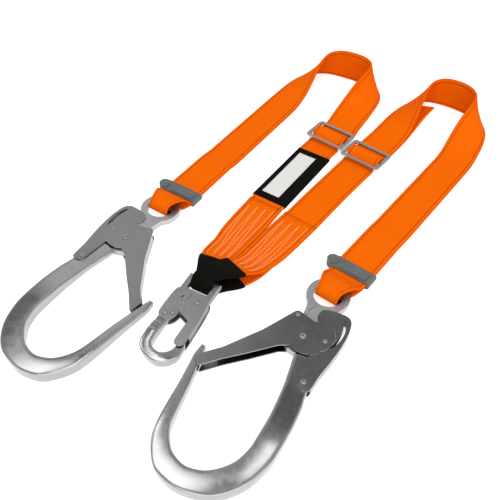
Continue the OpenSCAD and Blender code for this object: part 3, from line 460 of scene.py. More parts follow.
def sleeve_piece(name, p, material, seed):
    """A tube of cloth with a wall round the strap."""
    profile = strap_profile(14, 4)
    inside = THICK + 2 * WEAR_GAP
    outer, uv_o = strap_rings(p, inside + 2 * WEAR, 2 * (WEAR_GAP + WEAR), 0, profile, SLEEVE_RIPPLE, seed)
    inner, uv_i = strap_rings(p, inside, 2 * WEAR_GAP, 0, profile)
    n = len(profile)
    count = len(outer)
    verts = [q for r in outer for q in r] + [q for r in inner for q in r]
    base = n * count
    polys = skin(outer) + skin(inner, base, True)
    for ring, flip in ((0, True), (count - 1, False)):
        for k in range(n):
            a, b = ring * n + k, ring * n + (k + 1) % n
            quad = (a, b, base + b, base + a)
            polys.append(quad[::-1] if flip else quad)
    return new_object(name, verts, polys, material, [q for r in uv_o + uv_i for q in r])


# Materials
def material(name, color, rough=0.6, metallic=0.0):
    m = bpy.data.materials.new(name)
    m.use_nodes = True
    b = m.node_tree.nodes["Principled BSDF"]
    b.inputs["Base Color"].default_value = (*color, 1)
    b.inputs["Roughness"].default_value = rough
    b.inputs["Metallic"].default_value = metallic
    return m, m.node_tree, b


class Nodes:
    """Short words for making a node tree."""

    def __init__(self, tree):
        self.t = tree

    def add(self, kind, **values):
        n = self.t.nodes.new(kind)
        for k, v in values.items():
            setattr(n, k, v)
        return n

    def link(self, a, b):
        self.t.links.new(a, b)

    def math(self, op, a, b=None, c=None, clamp=False):
        n = self.add("ShaderNodeMath", operation=op, use_clamp=clamp)
        for i, v in enumerate((a, b, c)):
            if v is None:
                continue
            if isinstance(v, (int, float)):
                n.inputs[i].default_value = v
            else:
                self.link(v, n.inputs[i])
        return n.outputs[0]

    def mix(self, fac, a, b):
        n = self.add("ShaderNodeMix", data_type="RGBA")
        if isinstance(fac, (int, float)):
            n.inputs[0].default_value = fac
        else:
            self.link(fac, n.inputs[0])
        for i, v in ((6, a), (7, b)):
            if isinstance(v, tuple):
                n.inputs[i].default_value = (*v, 1)
            else:
                self.link(v, n.inputs[i])
        return n.outputs[2]

    def noise(self, vector, scale, detail=2.0, rough=0.5):
        n = self.add("ShaderNodeTexNoise")
        n.inputs["Scale"].default_value = scale
        n.inputs["Detail"].default_value = detail
        n.inputs["Roughness"].default_value = rough
        self.link(vector, n.inputs["Vector"])
        return n.outputs["Fac"]

    def scaled(self, vector, s):
        n = self.add("ShaderNodeVectorMath", operation="MULTIPLY")
        self.link(vector, n.inputs[0])
        n.inputs[1].default_value = s
        return n.outputs[0]

    def bump(self, height, bsdf, strength, distance):
        n = self.add("ShaderNodeBump")
        n.inputs["Strength"].default_value = strength
        n.inputs["Distance"].default_value = distance
        self.link(height, n.inputs["Height"])
        self.link(n.outputs[0], bsdf.inputs["Normal"])

    def ramp(self, fac, low, high):
        n = self.add("ShaderNodeMapRange")
        n.inputs["To Min"].default_value = low
        n.inputs["To Max"].default_value = high
        self.link(fac, n.inputs["Value"])
        return n.outputs[0]


def srgb(*v):
    return tuple(((c / 255 + 0.055) / 1.055) ** 2.4 if c > 10 else c / 255 / 12.92 for c in v)


# The webbing's weave, in metres: pitches of rib, yarn and tracer, the tracer's place and half width, and the
# width of the band of painted shade along each edge
RIB = 0.0014
YARN = 0.0011
TRACER = 0.0027
TRACER_AT = 0.0034
TRACER_HALF = 0.0005
EDGE_SHADE_BAND = 0.0026
ROUND = 2 * math.pi


def webbing_material():
    m, tree, b = material("webbing", srgb(255, 112, 0), 0.85)
    g = Nodes(tree)
    uv = g.add("ShaderNodeUVMap", uv_map="cloth").outputs[0]
    sep = g.add("ShaderNodeSeparateXYZ")
    g.link(uv, sep.inputs[0])
    u, v = sep.outputs[0], sep.outputs[1]
    edge = g.math("SUBTRACT", WIDTH / 2 * MM, g.math("ABSOLUTE", u))
    # Ribs across the strap and fine yarns along it
    rib = g.math("SINE", g.math("MULTIPLY", v, ROUND / RIB))
    yarn = g.math("ADD", g.math("MULTIPLY", u, ROUND / YARN), g.math("MULTIPLY", rib, 0.9))
    yarn = g.math("SINE", yarn)
    weave = g.math("MULTIPLY_ADD", g.math("MULTIPLY", rib, yarn), 0.5, 0.5)
    tone = g.noise(uv, 60.0, 3.0, 0.6)
    long_tone = g.noise(g.scaled(uv, (900.0, 30.0, 1.0)), 1.0, 2.0)
    light = g.mix(g.ramp(tone, -0.1, 1.1), srgb(255, 108, 0), srgb(255, 117, 4))
    light = g.mix(g.math("MULTIPLY", g.math("SUBTRACT", 1.0, weave), 0.22), light, srgb(232, 78, 0))
    light = g.mix(g.math("MULTIPLY", long_tone, 0.16), light, srgb(240, 90, 0))
    # Dotted tracer yarn beside each edge
    row = g.math("LESS_THAN", g.math("ABSOLUTE", g.math("SUBTRACT", edge, TRACER_AT)), TRACER_HALF)
    dash = g.math("GREATER_THAN", g.math("SINE", g.math("MULTIPLY", v, ROUND / TRACER)), -0.25)
    dark = g.math("MULTIPLY", row, dash)
    # Painted shade: the strap's edges and round sides are darkened towards a redder orange, as where they
    # turn from the light
    edge_shade = g.math("LESS_THAN", edge, EDGE_SHADE_BAND)
    light = g.mix(g.math("MULTIPLY", edge_shade, 0.3), light, srgb(246, 92, 0))
    g.link(g.mix(dark, light, srgb(62, 26, 8)), b.inputs["Base Color"])
    g.link(g.ramp(tone, 0.64, 0.8), b.inputs["Roughness"])
    height = g.math("ADD", weave, g.math("MULTIPLY", g.noise(uv, 700.0, 2.0), 0.5))
    height = g.math("SUBTRACT", height, g.math("MULTIPLY", dark, 0.6))
    g.bump(height, b, 0.35, 0.00025)
    b.inputs["Specular IOR Level"].default_value = 0.03
    return m


def cloth_material(name, low, high, pitch=0.0012):
    m, tree, b = material(name, low, 0.85)
    g = Nodes(tree)
    uv = g.add("ShaderNodeUVMap", uv_map="cloth").outputs[0]
    sep = g.add("ShaderNodeSeparateXYZ")
    g.link(uv, sep.inputs[0])
    a = g.math("SINE", g.math("MULTIPLY", sep.outputs[0], ROUND / pitch))
    c = g.math("SINE", g.math("MULTIPLY", sep.outputs[1], ROUND / pitch))
    weave = g.math("MULTIPLY_ADD", g.math("MULTIPLY", a, c), 0.5, 0.5)
    tone = g.noise(uv, 90.0, 3.0, 0.6)
    fac = g.math("ADD", g.math("MULTIPLY", weave, 0.5), g.math("MULTIPLY", tone, 0.5), clamp=True)
    g.link(g.mix(fac, low, high), b.inputs["Base Color"])
    g.link(g.ramp(tone, 0.78, 0.95), b.inputs["Roughness"])
    g.bump(weave, b, 0.5, 0.0002)
    b.inputs["Specular IOR Level"].default_value = 0.06
    return m


def thread_material():
    m, tree, b = material("sewing_thread", srgb(250, 214, 190), 0.6)
    g = Nodes(tree)
    pos = g.add("ShaderNodeTexCoord").outputs["Object"]
    tone = g.noise(pos, 400.0, 2.0)
    g.link(g.mix(tone, srgb(240, 190, 160), srgb(255, 232, 214)), b.inputs["Base Color"])
    twist = g.add("ShaderNodeTexWave")
    twist.inputs["Scale"].default_value = 900.0
    g.link(pos, twist.inputs["Vector"])
    g.bump(twist.outputs["Fac"], b, 0.3, 0.0001)
    return m


def plastic_material(name, low, high, rough):
    m, tree, b = material(name, low, rough)
    g = Nodes(tree)
    pos = g.add("ShaderNodeTexCoord").outputs["Object"]
    tone = g.noise(pos, 130.0, 3.0, 0.6)
    g.link(g.mix(tone, low, high), b.inputs["Base Color"])
    g.link(g.ramp(tone, rough - 0.08, rough + 0.1), b.inputs["Roughness"])
    g.bump(g.noise(pos, 2600.0, 2.0), b, 0.15, 0.0001)
    b.inputs["Specular IOR Level"].default_value = 0.4
    return m


def steel_material(name, low, high, rough, grain, bump):
    """Plated steel with faint grain, spots of wear and uneven polish."""
    m, tree, b = material(name, low, rough, 1.0)
    g = Nodes(tree)
    pos = g.add("ShaderNodeTexCoord").outputs["Object"]
    tone = g.noise(pos, 45.0, 4.0, 0.6)
    lines = g.noise(g.scaled(pos, grain), 12.0, 3.0, 0.6)
    fac = g.math("ADD", g.math("MULTIPLY", tone, 0.55), g.math("MULTIPLY", lines, 0.45), clamp=True)
    g.link(g.mix(fac, low, high), b.inputs["Base Color"])
    wear = g.math("ADD", g.math("MULTIPLY", lines, 0.5), g.math("MULTIPLY", tone, 0.5))
    g.link(g.ramp(wear, rough - 0.08, rough + 0.1), b.inputs["Roughness"])
    if bump:
        g.bump(lines, b, bump, 0.0002)
    return m


WEB = webbing_material()
BLACK = cloth_material("black_cloth", srgb(6, 6, 4), srgb(22, 21, 17))
LABEL = cloth_material("label_film", srgb(226, 226, 224), srgb(244, 244, 242), 0.0006)
THREAD = thread_material()
GREY = plastic_material("keeper_plastic", srgb(86, 89, 89), srgb(112, 115, 114), 0.45)
FORGED = steel_material("forged_steel", srgb(150, 151, 152), srgb(180, 181, 182), 0.13, (14, 14, 14), 0)
SHEET = steel_material("sheet_steel", srgb(128, 128, 128), srgb(164, 164, 163), 0.19, (14, 60, 60), 0.03)
FRAME = steel_material("frame_steel", srgb(160, 157, 154), srgb(196, 193, 190), 0.24, (10, 60, 60), 0.03)
EYE = steel_material("eye_steel", srgb(166, 167, 168), srgb(196, 197, 198), 0.38, (30, 30, 30), 0.04)
PLATED = steel_material("plated_steel", srgb(124, 125, 126), srgb(162, 163, 164), 0.4, (30, 30, 30), 0.05)
PIN = steel_material("pin_steel", srgb(120, 120, 121), srgb(170, 170, 171), 0.22, (60, 60, 60), 0.02)
SPRING = steel_material("spring_steel", srgb(80, 80, 82), srgb(120, 120, 122), 0.35, (60, 60, 60), 0.05)

# Straps, sleeves and pads. The numbers count stations along a leg's first run and round a hook's eye
SLEEVE_FROM, SLEEVE_TO = 6, 20
PAD_FROM, PAD_TO = 6, 11
LEG_FOOT = 29
# A pad is shorter than the strap's middle that it lies inside
left_leg = strap_piece("left_leg_strap", LEFT, WEB)
right_leg = strap_piece("right_leg_strap", RIGHT, WEB)
for ob, p, node in ((left_leg, LEFT, "left_leg_webbing"), (right_leg, RIGHT, "right_leg_webbing")):
    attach(ob, "webbing")
    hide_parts(node)
for side, p, seed in (("left", L_FIRST, 3.0), ("right", R_FIRST, 11.0)):
    part = p[FINE * SLEEVE_FROM:FINE * SLEEVE_TO + 1]
    ob = sleeve_piece(side + "_wear_sleeve", part, BLACK, seed)
    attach(ob, "webbing")
    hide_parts(side + "_snap_sleeve")
for side, p in (("left", L_EYE), ("right", R_EYE)):
    part = p[FINE * PAD_FROM:FINE * PAD_TO + 1]
    ob = strap_piece(side + "_wear_pad", part, BLACK, WEAR, -1.0, -(THICK / 2 + WEAR_GAP + WEAR / 2))
    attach(ob, "webbing")
    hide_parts(side + "_hook_pad")


# Sewing thread
class Threads:
    """Stitches of one object: short rounded bars that lie on the cloth."""

    SIDES = 6
    # Share of a stitch's length, and of its thickness there
    STEPS = ((0.0, 0.25), (0.12, 0.75), (0.32, 1.0), (0.68, 1.0), (0.88, 0.75), (1.0, 0.25))

    def __init__(self):
        self.v, self.f = [], []

    def stitch(self, a, b, up, wide=0.6, high=0.36):
        a, b = np.array(a), np.array(b)
        t = unit(b - a)
        side = unit(np.cross(up, t))
        length = np.linalg.norm(b - a)
        base = len(self.v)
        n, last = self.SIDES, len(self.STEPS) - 1
        for s, r in self.STEPS:
            c = a + t * length * s
            for k in range(n):
                ang = math.radians(360 / n * k)
                q = c + side * math.cos(ang) * wide / 2 * r
                self.v.append((q + up * (math.sin(ang) * high / 2 * r)) * MM)
        for i in range(last):
            for k in range(n):
                p, q = base + n * i + k, base + n * i + (k + 1) % n
                self.f.append((p, q, q + n, p + n))
        self.f.append(tuple(base + k for k in range(n))[::-1])
        self.f.append(tuple(base + n * last + k for k in range(n)))

    def row(self, points, ups, long=2.6, gap=0.8):
        """Stitches along a line of points, each with its upward way."""
        points, ups = np.array(points), np.array(ups)
        s = np.concatenate([[0], np.cumsum(np.linalg.norm(np.diff(points, axis=0), axis=1))])

        def at(d):
            return (np.array([np.interp(d, s, points[:, k]) for k in range(3)]),
                    unit(np.array([np.interp(d, s, ups[:, k]) for k in range(3)])))

        d = 0.0
        while d + long < s[-1]:
            a, up = at(d)
            b, _ = at(d + long)
            self.stitch(a, b, up)
            d += long + gap

    def make(self, name, mat):
        return new_object(name, self.v, self.f, mat)


def strap_line(p, line, lift):
    """Points on a strap's face, and its upward ways. line holds places on it.

    A place is a distance along the strap and a share of its half width.
    """
    f, s = faces(p), arc_length(p)
    pts, ups = [], []
    for (d0, a0), (d1, a1) in zip(line[:-1], line[1:]):
        n = max(2, int(abs(d1 - d0) / GAP_STEP) + 2)
        for k in range(n):
            d, a = d0 + (d1 - d0) * k / (n - 1), a0 + (a1 - a0) * k / (n - 1)
            c = np.array([np.interp(d, s, p[:, j]) for j in range(7)])
            up = unit(np.array([np.interp(d, s, f[:, j]) for j in range(3)]))
            pts.append(c[:3] + c[3:6] * a * c[6] / 2 + up * lift)
            ups.append(up)
    return pts, ups


def zigzag(top, foot, reach):
    """A long narrow zigzag down and up a strap, which steps across it: places for strap_line."""
    line = []
    for k in range(ZIGZAGS):
        line.append((top + 1.5 * k, -reach + 0.46 * k))
        line.append((foot + 1.2 * k - 3.6, -reach + 0.12 + 0.43 * k))
    return line


# Peaks of a zigzag, how high threads lie on the cloth, and how far across the strap the rows go
ZIGZAGS = 4
ON_CLOTH = 0.08
SUNK = 0.12
REACH = 0.72
LOW_REACH = 0.7
TAIL_ROWS = (-0.62, -0.2, 0.2, 0.62)
for side, p in (("left", L_FIRST), ("right", R_FIRST)):
    threads = Threads()
    s = arc_length(p)
    pts, ups = strap_line(p, zigzag(s[0] + 9, s[FINE * SLEEVE_FROM] - 5, REACH), -(THICK / 2 + ON_CLOTH))
    threads.row(pts, ups)
    top, foot = s[FINE * LEG_FOOT] - 9, s[FINE * LEG_FOOT] - 62
    low = [(top, -LOW_REACH), (foot, -LOW_REACH), (top, 0.0), (foot, LOW_REACH), (top, LOW_REACH)]
    pts, ups = strap_line(p, low, -(THICK / 2 - SUNK))
    threads.row(pts, ups)
    ob = threads.make(side + "_leg_stitching", THREAD)
    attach(ob, "webbing")
tails = Threads()
for p, under in ((L_TAIL, 1), (R_TAIL, -1)):
    s = arc_length(p)
    for a in TAIL_ROWS:
        pts, ups = strap_line(p, [(s[-1] - 46, a), (s[-1] - 4, a)], under * (THICK / 2 + ON_CLOTH))
        tails.row(pts, ups)
tail_rows = tails.make("tail_stitching", THREAD)
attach(tail_rows, "webbing")


# Label cover: a flat cloth tube with round edges, hemmed at both ends, and a bare panel sewn on top
COVER_IN_W = 45.7
COVER_IN_HALF = 1.2
COVER_STEPS = 26
COVER_SAG = 0.22
HEM_ROWS = [0, 1.2, 3, 5.2, 6.4]
HEM_FROM, HEM_TO, GROOVE_TO = 0.6, 5.8, 7
HEM_RISE = 0.25
GROOVE = -0.18


def cover_frame(d, x, z):
    q = COVER_AT + turned(COVER_TURN, (x, d))
    return np.array([q[0], q[1], COVER_MID + z])


def hem_rise(end):
    """How much thicker the cover is at a distance from its end: a hem with a groove beside it."""
    if HEM_FROM < end < HEM_TO:
        return HEM_RISE
    return GROOVE if HEM_TO <= end < GROOVE_TO else 0.0


def cover_piece():
    profile = strap_profile(16, 6)
    inner_len = COVER_LEN - 2 * HEM_ROWS[-1]
    rows = HEM_ROWS + [HEM_ROWS[-1] + inner_len * k / COVER_STEPS for k in range(1, COVER_STEPS)]
    rows += [COVER_LEN - v for v in HEM_ROWS[::-1]]
    rings, inner, uvs = [], [], []
    for d in rows:
        thick = COVER_H + hem_rise(min(d, COVER_LEN - d))
        ring, back, uv = [], [], []
        for a, b, e in profile:
            sag = COVER_SAG * noise.noise(Vector((a * 2.3, d * 0.05, 4.0))) if b > 0 else 0.0
            out = b * thick / 2 + sag * (1 - abs(a))
            side = a * (COVER_W / 2 - thick / 2) + math.copysign(e * thick / 2, a)
            ring.append(cover_frame(d, side, out) * MM)
            side_in = a * (COVER_IN_W / 2 - COVER_IN_HALF) + math.copysign(e * COVER_IN_HALF, a)
            back.append(cover_frame(d, side_in, b * COVER_IN_HALF) * MM)
            uv.append((side * MM, d * MM))
        rings.append(ring)
        inner.append(back)
        uvs.append(uv)
    n, count = len(profile), len(rows)
    verts = [q for r in rings for q in r] + [q for r in inner for q in r]
    base = n * count
    polys = skin(rings, 0, True) + skin(inner, base)
    for ring, flip in ((0, False), (count - 1, True)):
        for k in range(n):
            a, b = ring * n + k, ring * n + (k + 1) % n
            quad = (a, b, base + b, base + a)
            polys.append(quad[::-1] if flip else quad)
    return new_object("label_sleeve", verts, polys, BLACK, [q for r in uvs + uvs for q in r])


# The panel's rim, its steps, and its heights: the cover's top, and the rim, face, back and waves above that
RIM = 0.6
PANEL_COLS, PANEL_ROWS = 10, 24
PANEL_ON = 2.1
RIM_UP, FACE_UP, BACK_UP, WAVE = 0.2, 0.42, 0.02, 0.1


def panel_piece():
    w, l = PANEL_W, PANEL_L
    cols = [-w / 2, -w / 2 + RIM]
    cols += [-w / 2 + RIM + (w - 2 * RIM) * k / PANEL_COLS for k in range(1, PANEL_COLS)]
    cols += [w / 2 - RIM, w / 2]
    rows = [0, RIM] + [RIM + (l - 2 * RIM) * k / PANEL_ROWS for k in range(1, PANEL_ROWS)] + [l - RIM, l]
    verts, uvs, polys = [], [], []
    for face in (1, 0):
        for j, y in enumerate(rows):
            for i, x in enumerate(cols):
                rim = i in (0, len(cols) - 1) or j in (0, len(rows) - 1)
                z = PANEL_ON + (FACE_UP if face and not rim else (RIM_UP if face else BACK_UP))
                z += WAVE * noise.noise(Vector((x * 0.09, y * 0.05, 1.0))) if face and not rim else 0.0
                verts.append(cover_frame(PANEL_EDGE + y, PANEL_X + x, z) * MM)
                uvs.append((x * MM, y * MM))
    nx, ny = len(cols), len(rows)
    for face in (0, 1):
        for j in range(ny - 1):
            for i in range(nx - 1):
                a = face * nx * ny + j * nx + i
                quad = (a, a + 1, a + nx + 1, a + nx)
                polys.append(quad if face == 0 else quad[::-1])
    border = [j * nx for j in range(ny)] + [(ny - 1) * nx + i for i in range(1, nx)]
    border += [j * nx + nx - 1 for j in range(ny - 2, -1, -1)] + [i for i in range(nx - 2, 0, -1)]
    for a, b in zip(border, border[1:] + border[:1]):
        polys.append((a, b, b + nx * ny, a + nx * ny))
    return new_object("label_panel_bare", verts, polys, LABEL, uvs)


cover = cover_piece()
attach(cover, "webbing")
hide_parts("label_cover")
panel = panel_piece()
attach(panel, "webbing")
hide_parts("label_panel")
# Threads round the panel and along the hems, with their heights above the cover's middle
SEAM_IN = 1.2
SEAM_STEPS = 12
PANEL_SEAM_Z = 2.62
HEM_SEAM_Z = 2.28
HEM_SEAM_AT = 4.6
HEM_SEAM_X = np.linspace(-21, 21, 15)
SEAM_STITCH = 2.2
hem = Threads()
x0, x1 = PANEL_X - PANEL_W / 2 + SEAM_IN, PANEL_X + PANEL_W / 2 - SEAM_IN
y0, y1 = PANEL_EDGE + SEAM_IN, PANEL_EDGE + PANEL_L - SEAM_IN
corners = [(x0, y0), (x1, y0), (x1, y1), (x0, y1), (x0, y0)]
for (x0, y0), (x1, y1) in zip(corners[:-1], corners[1:]):
    n = SEAM_STEPS
    pts = [cover_frame(y0 + (y1 - y0) * k / n, x0 + (x1 - x0) * k / n, PANEL_SEAM_Z) for k in range(n + 1)]
    hem.row(pts, [(0, 0, 1)] * (n + 1), SEAM_STITCH, 0.8)
hem_rows = hem.make("label_stitching", THREAD)
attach(hem_rows, "webbing")
ends = Threads()
for d in (HEM_SEAM_AT, COVER_LEN - HEM_SEAM_AT):
    pts = [cover_frame(d, x, HEM_SEAM_Z) for x in HEM_SEAM_X]
    ends.row(pts, [(0, 0, 1)] * len(pts), SEAM_STITCH, 0.9)
end_rows = ends.make("cover_hem_stitching", BLACK)
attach(end_rows, "webbing")

# Forged bars of the hooks, smooth and round-edged over the solids' bevels.
# Each row is a point on the inner edge, one on the outer edge, and how far the bar is from thin to thick
BAR = [
    [2, -6, 27, -6, 0], [1, -16, 27.5, -16, 0], [4.5, -40, 29, -40, 0], [7, -54, 30.5, -54, 0.02],
    [9.5, -72, 33.5, -72, 0.3], [11.5, -100, 35, -100, 0.8], [11.5, -122, 34.3, -125, 1],
    [7.5, -141.5, 28.7, -149.5, 1], [-3, -157, 16.2, -170.5, 1], [-16, -166, -2.5, -184.5, 1],
    [-29, -169, -27, -189.5, 1], [-43, -165.3, -48, -185.5, 1], [-54.5, -155.3, -62.5, -173, 0.95],
    [-62.3, -140.5, -73, -153.5, 0.9], [-66, -122, -77, -129, 0.8], [-69.5, -100, -79.5, -103.5, 0.6],
    [-73.5, -80, -82.5, -81, 0.35], [-77, -64, -84.5, -64.5, 0.25], [-79, -55, -84, -54.5, 0.1]]
SNAP_BAR = [
    [-3, -44, -17, -44, 0], [-6, -54, -18.5, -54, 0], [-8, -65, -19.5, -65, 0],
    [-8.4, -71, -19.6, -71.5, 0.5], [-8.6, -77, -19.6, -78.5, 1], [-7.6, -88, -18.6, -92, 1],
    [-2, -95, -9.5, -103.5, 1], [5.5, -96.6, 6, -107.3, 1], [12.5, -93, 19, -102, 0.8],
    [16, -86.5, 25.6, -90, 0.3], [16.6, -80, 25, -80, 0], [16.8, -75, 22.6, -74.6, 0]]
BAR_FINE = 8
BAR_THIN = 7
HOOK_THICK = 13
SNAP_THICK = 11
HOOK_ROUND = 1.6
SNAP_ROUND = 1.3
# How far the skin stands off the solid, more at the edges of the thick part, and the rise of its broad faces
SKIN = 0.03
SKIN_WIDER = 0.19
CROWN = 0.12
MOST_ROUND = 0.6
CORNER_STEPS = 6
ACROSS = 8


def bar_piece(name, route, thin, thick, place, round_by):
    """A forged bar with round edges and crowned broad faces. It starts at the second station."""
    rings = []
    for s in smooth(route, BAR_FINE, 2)[BAR_FINE:]:
        a, b = s[:2], s[2:4]
        h = (thin + (thick - thin) * s[4]) / 2 + SKIN
        half = np.linalg.norm(b - a) / 2 + SKIN + SKIN_WIDER * min(1.0, 3 * s[4])
        mid, way = (a + b) / 2, unit(b - a)
        r = min(round_by, half * MOST_ROUND, h * MOST_ROUND)
        rise = CROWN * s[4]
        section = []
        for sx, sz, start in ((1, 1, 0), (-1, 1, 90), (-1, -1, 180), (1, -1, 270)):
            for k in range(CORNER_STEPS):
                ang = math.radians(start + 90 / (CORNER_STEPS - 1) * k)
                section.append((sx * (half - r) + r * math.cos(ang), sz * (h - r) + r * math.sin(ang), sz))
            if sx == sz:
                section += [(-sx * (half - r) * (2 * k / ACROSS - 1), sz * h, sz) for k in range(1, ACROSS)]
        ring = []
        for x, z, sz in section:
            q = mid + way * x
            share = max(0.0, 1 - (x / (half - r)) ** 2) if half > r else 0.0
            ring.append(place(np.array([q[0], q[1], z + sz * rise * share])) * MM)
        rings.append(ring)
    n = len(rings[0])
    last = (len(rings) - 1) * n
    polys = skin(rings) + [tuple(range(n))[::-1], tuple(last + k for k in range(n))]
    return new_object(name, [q for r in rings for q in r], polys, FORGED)


def rot(axis, a):
    c, s = math.cos(math.radians(a)), math.sin(math.radians(a))
    return np.array({"x": [[1, 0, 0], [0, c, -s], [0, s, c]], "y": [[c, 0, s], [0, 1, 0], [-s, 0, c]],
                     "z": [[c, -s, 0], [s, c, 0], [0, 0, 1]]}[axis])


def hook_place(side):
    at, turn, over = HOOKS[side]
    m = rot("z", turn) @ (rot("y", 180) if over else np.eye(3))
    o = np.array([at[0], at[1], HOOK_Z])
    return lambda q: o + m @ q


SNAP_M = rot("z", SNAP_TURN) @ rot("x", SNAP_TILT)


def snap_place(q):
    return SNAP_AT + SNAP_M @ q


for side in HOOKS:
    bar = bar_piece(side + "_forged_bar", BAR, BAR_THIN, HOOK_THICK, hook_place(side), HOOK_ROUND)
    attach(bar, side + "_hook")
snap_bar = bar_piece("snap_forged_bar", SNAP_BAR, BAR_THIN, SNAP_THICK, snap_place, SNAP_ROUND)
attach(snap_bar, "snap_hook")


# Small forms on the steel: rivet heads, the gates' ears, the snap hook's edge, stud and ribs, and a dark
# strip on its gate that is painted shade of a slit
DOME_SIDES = 18
DOME_RINGS = 7
DOME_SUNK = -0.3


def solid(name, verts, polys, mat, smooth_shade=False):
    ob = new_object(name, [v * MM for v in verts], polys, mat, smooth_shade=smooth_shade)
    mesh = bmesh.new()
    mesh.from_mesh(ob.data)
    bmesh.ops.recalc_face_normals(mesh, faces=mesh.faces)
    mesh.to_mesh(ob.data)
    mesh.free()
    return ob


def dome(place, at, r, z, rise, up=1):
    """A rivet's round head on a face at z; up is -1 on the other face."""
    verts, polys = [], []
    n, last = DOME_SIDES, DOME_RINGS - 1
    for k in range(DOME_RINGS):
        a = math.radians(15 * max(k - 1, 0))
        high = DOME_SUNK if k == 0 else rise * math.sin(a)
        radius = r * math.cos(a) if k < last else r * 0.12
        for t in np.linspace(0, ROUND, n, endpoint=False):
            q = np.array([at[0] + radius * math.cos(t), at[1] + radius * math.sin(t), up * (z + high)])
            verts.append(place(q))
    for k in range(last):
        for j in range(n):
            a, b = n * k + j, n * k + (j + 1) % n
            polys.append((a, b, b + n, a + n))
    return verts, polys + [tuple(range(n)), tuple(range(n * last, n * last + n))]


def plate(place, outline, z0, z1):
    n = len(outline)
    verts = [place(np.array([q[0], q[1], z])) for z in (z0, z1) for q in outline]
    polys = [tuple(range(n)), tuple(range(n, 2 * n))]
    return verts, polys + [(k, (k + 1) % n, n + (k + 1) % n, n + k) for k in range(n)]


def ribbon(line, wide):
    """The outline of a narrow strip along a line of points."""
    line = np.array(line, float)
    way = np.gradient(line, axis=0)
    way /= np.linalg.norm(way, axis=1)[:, None]
    side = np.column_stack([-way[:, 1], way[:, 0]]) * wide / 2
    return np.vstack([line + side, (line - side)[::-1]])


def joined(parts):
    verts, polys = [], []
    for v, f in parts:
        polys += [tuple(len(verts) + k for k in q) for q in f]
        verts += v
    return verts, polys


def detail(name, parts, mat, body, smooth_shade=False, bevel=0.0):
    ob = solid(name, *joined(parts), mat, smooth_shade)
    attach(ob, body)
    if bevel:
        broken_edges(ob, bevel)


def broken_edges(ob, width):
    bevel = ob.modifiers.new("edges", "BEVEL")
    bevel.width = width * MM
    bevel.segments = 2
    bevel.limit_method = "ANGLE"
    bevel.angle_limit = math.radians(38)
    bevel.use_clamp_overlap = True


def arc(centre, r, a0, a1, n):
    angles = np.radians(np.linspace(a0, a1, n))
    return [(centre[0] + r * math.cos(a), centre[1] + r * math.sin(a)) for a in angles]


EAR = arc((9.5, 7.5), 20.9, -50, 46, 25)
EAR += [(23, 23.4), (22, 22.8), (16, 17.5)]
EAR += arc((5, 2), 19.6, 50, -30, 9)
EAR_IN, EAR_OUT = 5.13, 6.57
for side in HOOKS:
    place, up = hook_place(side), -1 if HOOKS[side][2] else 1
    heads = [dome(place, (0, 0), 3.3, 7.2, 0.9, up), dome(place, (23, -46), 2.8, 5.5, 0.8, up)]
    detail(side + "_pivot_heads", heads, PIN, side + "_hook", True)
    heads = [dome(place, (22, 5), 2.4, 6.6, 0.8, up), dome(place, (-16, 22), 2.4, 6.9, 0.7, up)]
    detail(side + "_pin_heads", heads, PIN, side + "_gate", True)
    ears = [plate(place, EAR, EAR_IN, EAR_OUT), plate(place, EAR, -EAR_OUT, -EAR_IN)]
    detail(side + "_gate_ears", ears, SHEET, side + "_gate", bevel=0.3)
heads = [dome(snap_place, (9.7, -30), 2.8, 6.9, 0.9), dome(snap_place, (-14.5, -54.5), 2.8, 5.5, 0.9)]
detail("snap_pivot_heads", heads, PIN, "snap_hook", True)
detail("snap_pin_head", [dome(snap_place, (-4, -36), 1.7, SNAP_OUTSIDE, RIVET_HEAD)], PIN, "snap_gate", True)
detail("snap_lever_stud", [dome(snap_place, (-7.4, -51.2), 2.7, 5.4, 1.1)], PIN, "snap_lever", True)
EDGE_WIDE, EDGE_HALF = 0.9, 5.4
edge = [(20.3, -27), (20.9, -33), (21.9, -45), (22.9, -58), (23.3, -69)]
edge += [(x - EDGE_WIDE, y) for x, y in edge[::-1]]
detail("snap_gate_edge", [plate(snap_place, edge, -EDGE_HALF, EDGE_HALF)], PLATED, "snap_gate")
# Painted shade: a thin dark raised strip on the gate stands in for the shadow inside a narrow slit
SLIT_SHADE_WIDE, SLIT_SHADE_LOW, SLIT_SHADE_TOP = 0.8, 6.2, 6.36
line = ribbon([(-2.6, -22.8), (-1.4, -24.4), (-1.2, -26), (-2.4, -33.5)], SLIT_SHADE_WIDE)
detail("snap_gate_slit_shade", [plate(snap_place, line, SLIT_SHADE_LOW, SLIT_SHADE_TOP)], SPRING, "snap_gate")
RIB_X0, RIB_X1, RIB_WIDE = -19.3, -8.5, 1.5
ribs = []
for y, top in ((-69.5, 5.0), (-72.9, 5.7)):
    outline = [(RIB_X0, y), (RIB_X1, y), (RIB_X1, y + RIB_WIDE), (RIB_X0, y + RIB_WIDE)]
    ribs.append(plate(snap_place, outline, 0, top))
detail("snap_bow_ribs", ribs, FORGED, "snap_hook", bevel=0.5)

# Finishes of the solids that stay, by the ends of their names, and how far their edges are broken
FINISH = {
    "hook_body": (EYE, 0.5),
    "snap_body": (PLATED, 0.5),
    "snap_gate": (PLATED, 0.3),
    "snap_lock_lever": (PLATED, 0.3),
    "hook_gate": (SHEET, 0.3),
    "lock_lever": (SHEET, 0.3),
    "rivet": (PIN, 0.45),
    "spacer": (PIN, 0.4),
    "lock_pin": (PIN, 0.3),
    "spring": (SPRING, 0),
    "keeper": (GREY, 0.6),
    "slide": (FRAME, 1.0),
}
for name, ob in nodes.items():
    if ob.hide_render:
        continue
    found = [v for k, v in FINISH.items() if name.endswith(k)]
    mat, round_by = found[0] if found else (SHEET, 0.3)
    ob.data.materials.clear()
    ob.data.materials.append(mat)
    if round_by:
        broken_edges(ob, round_by)

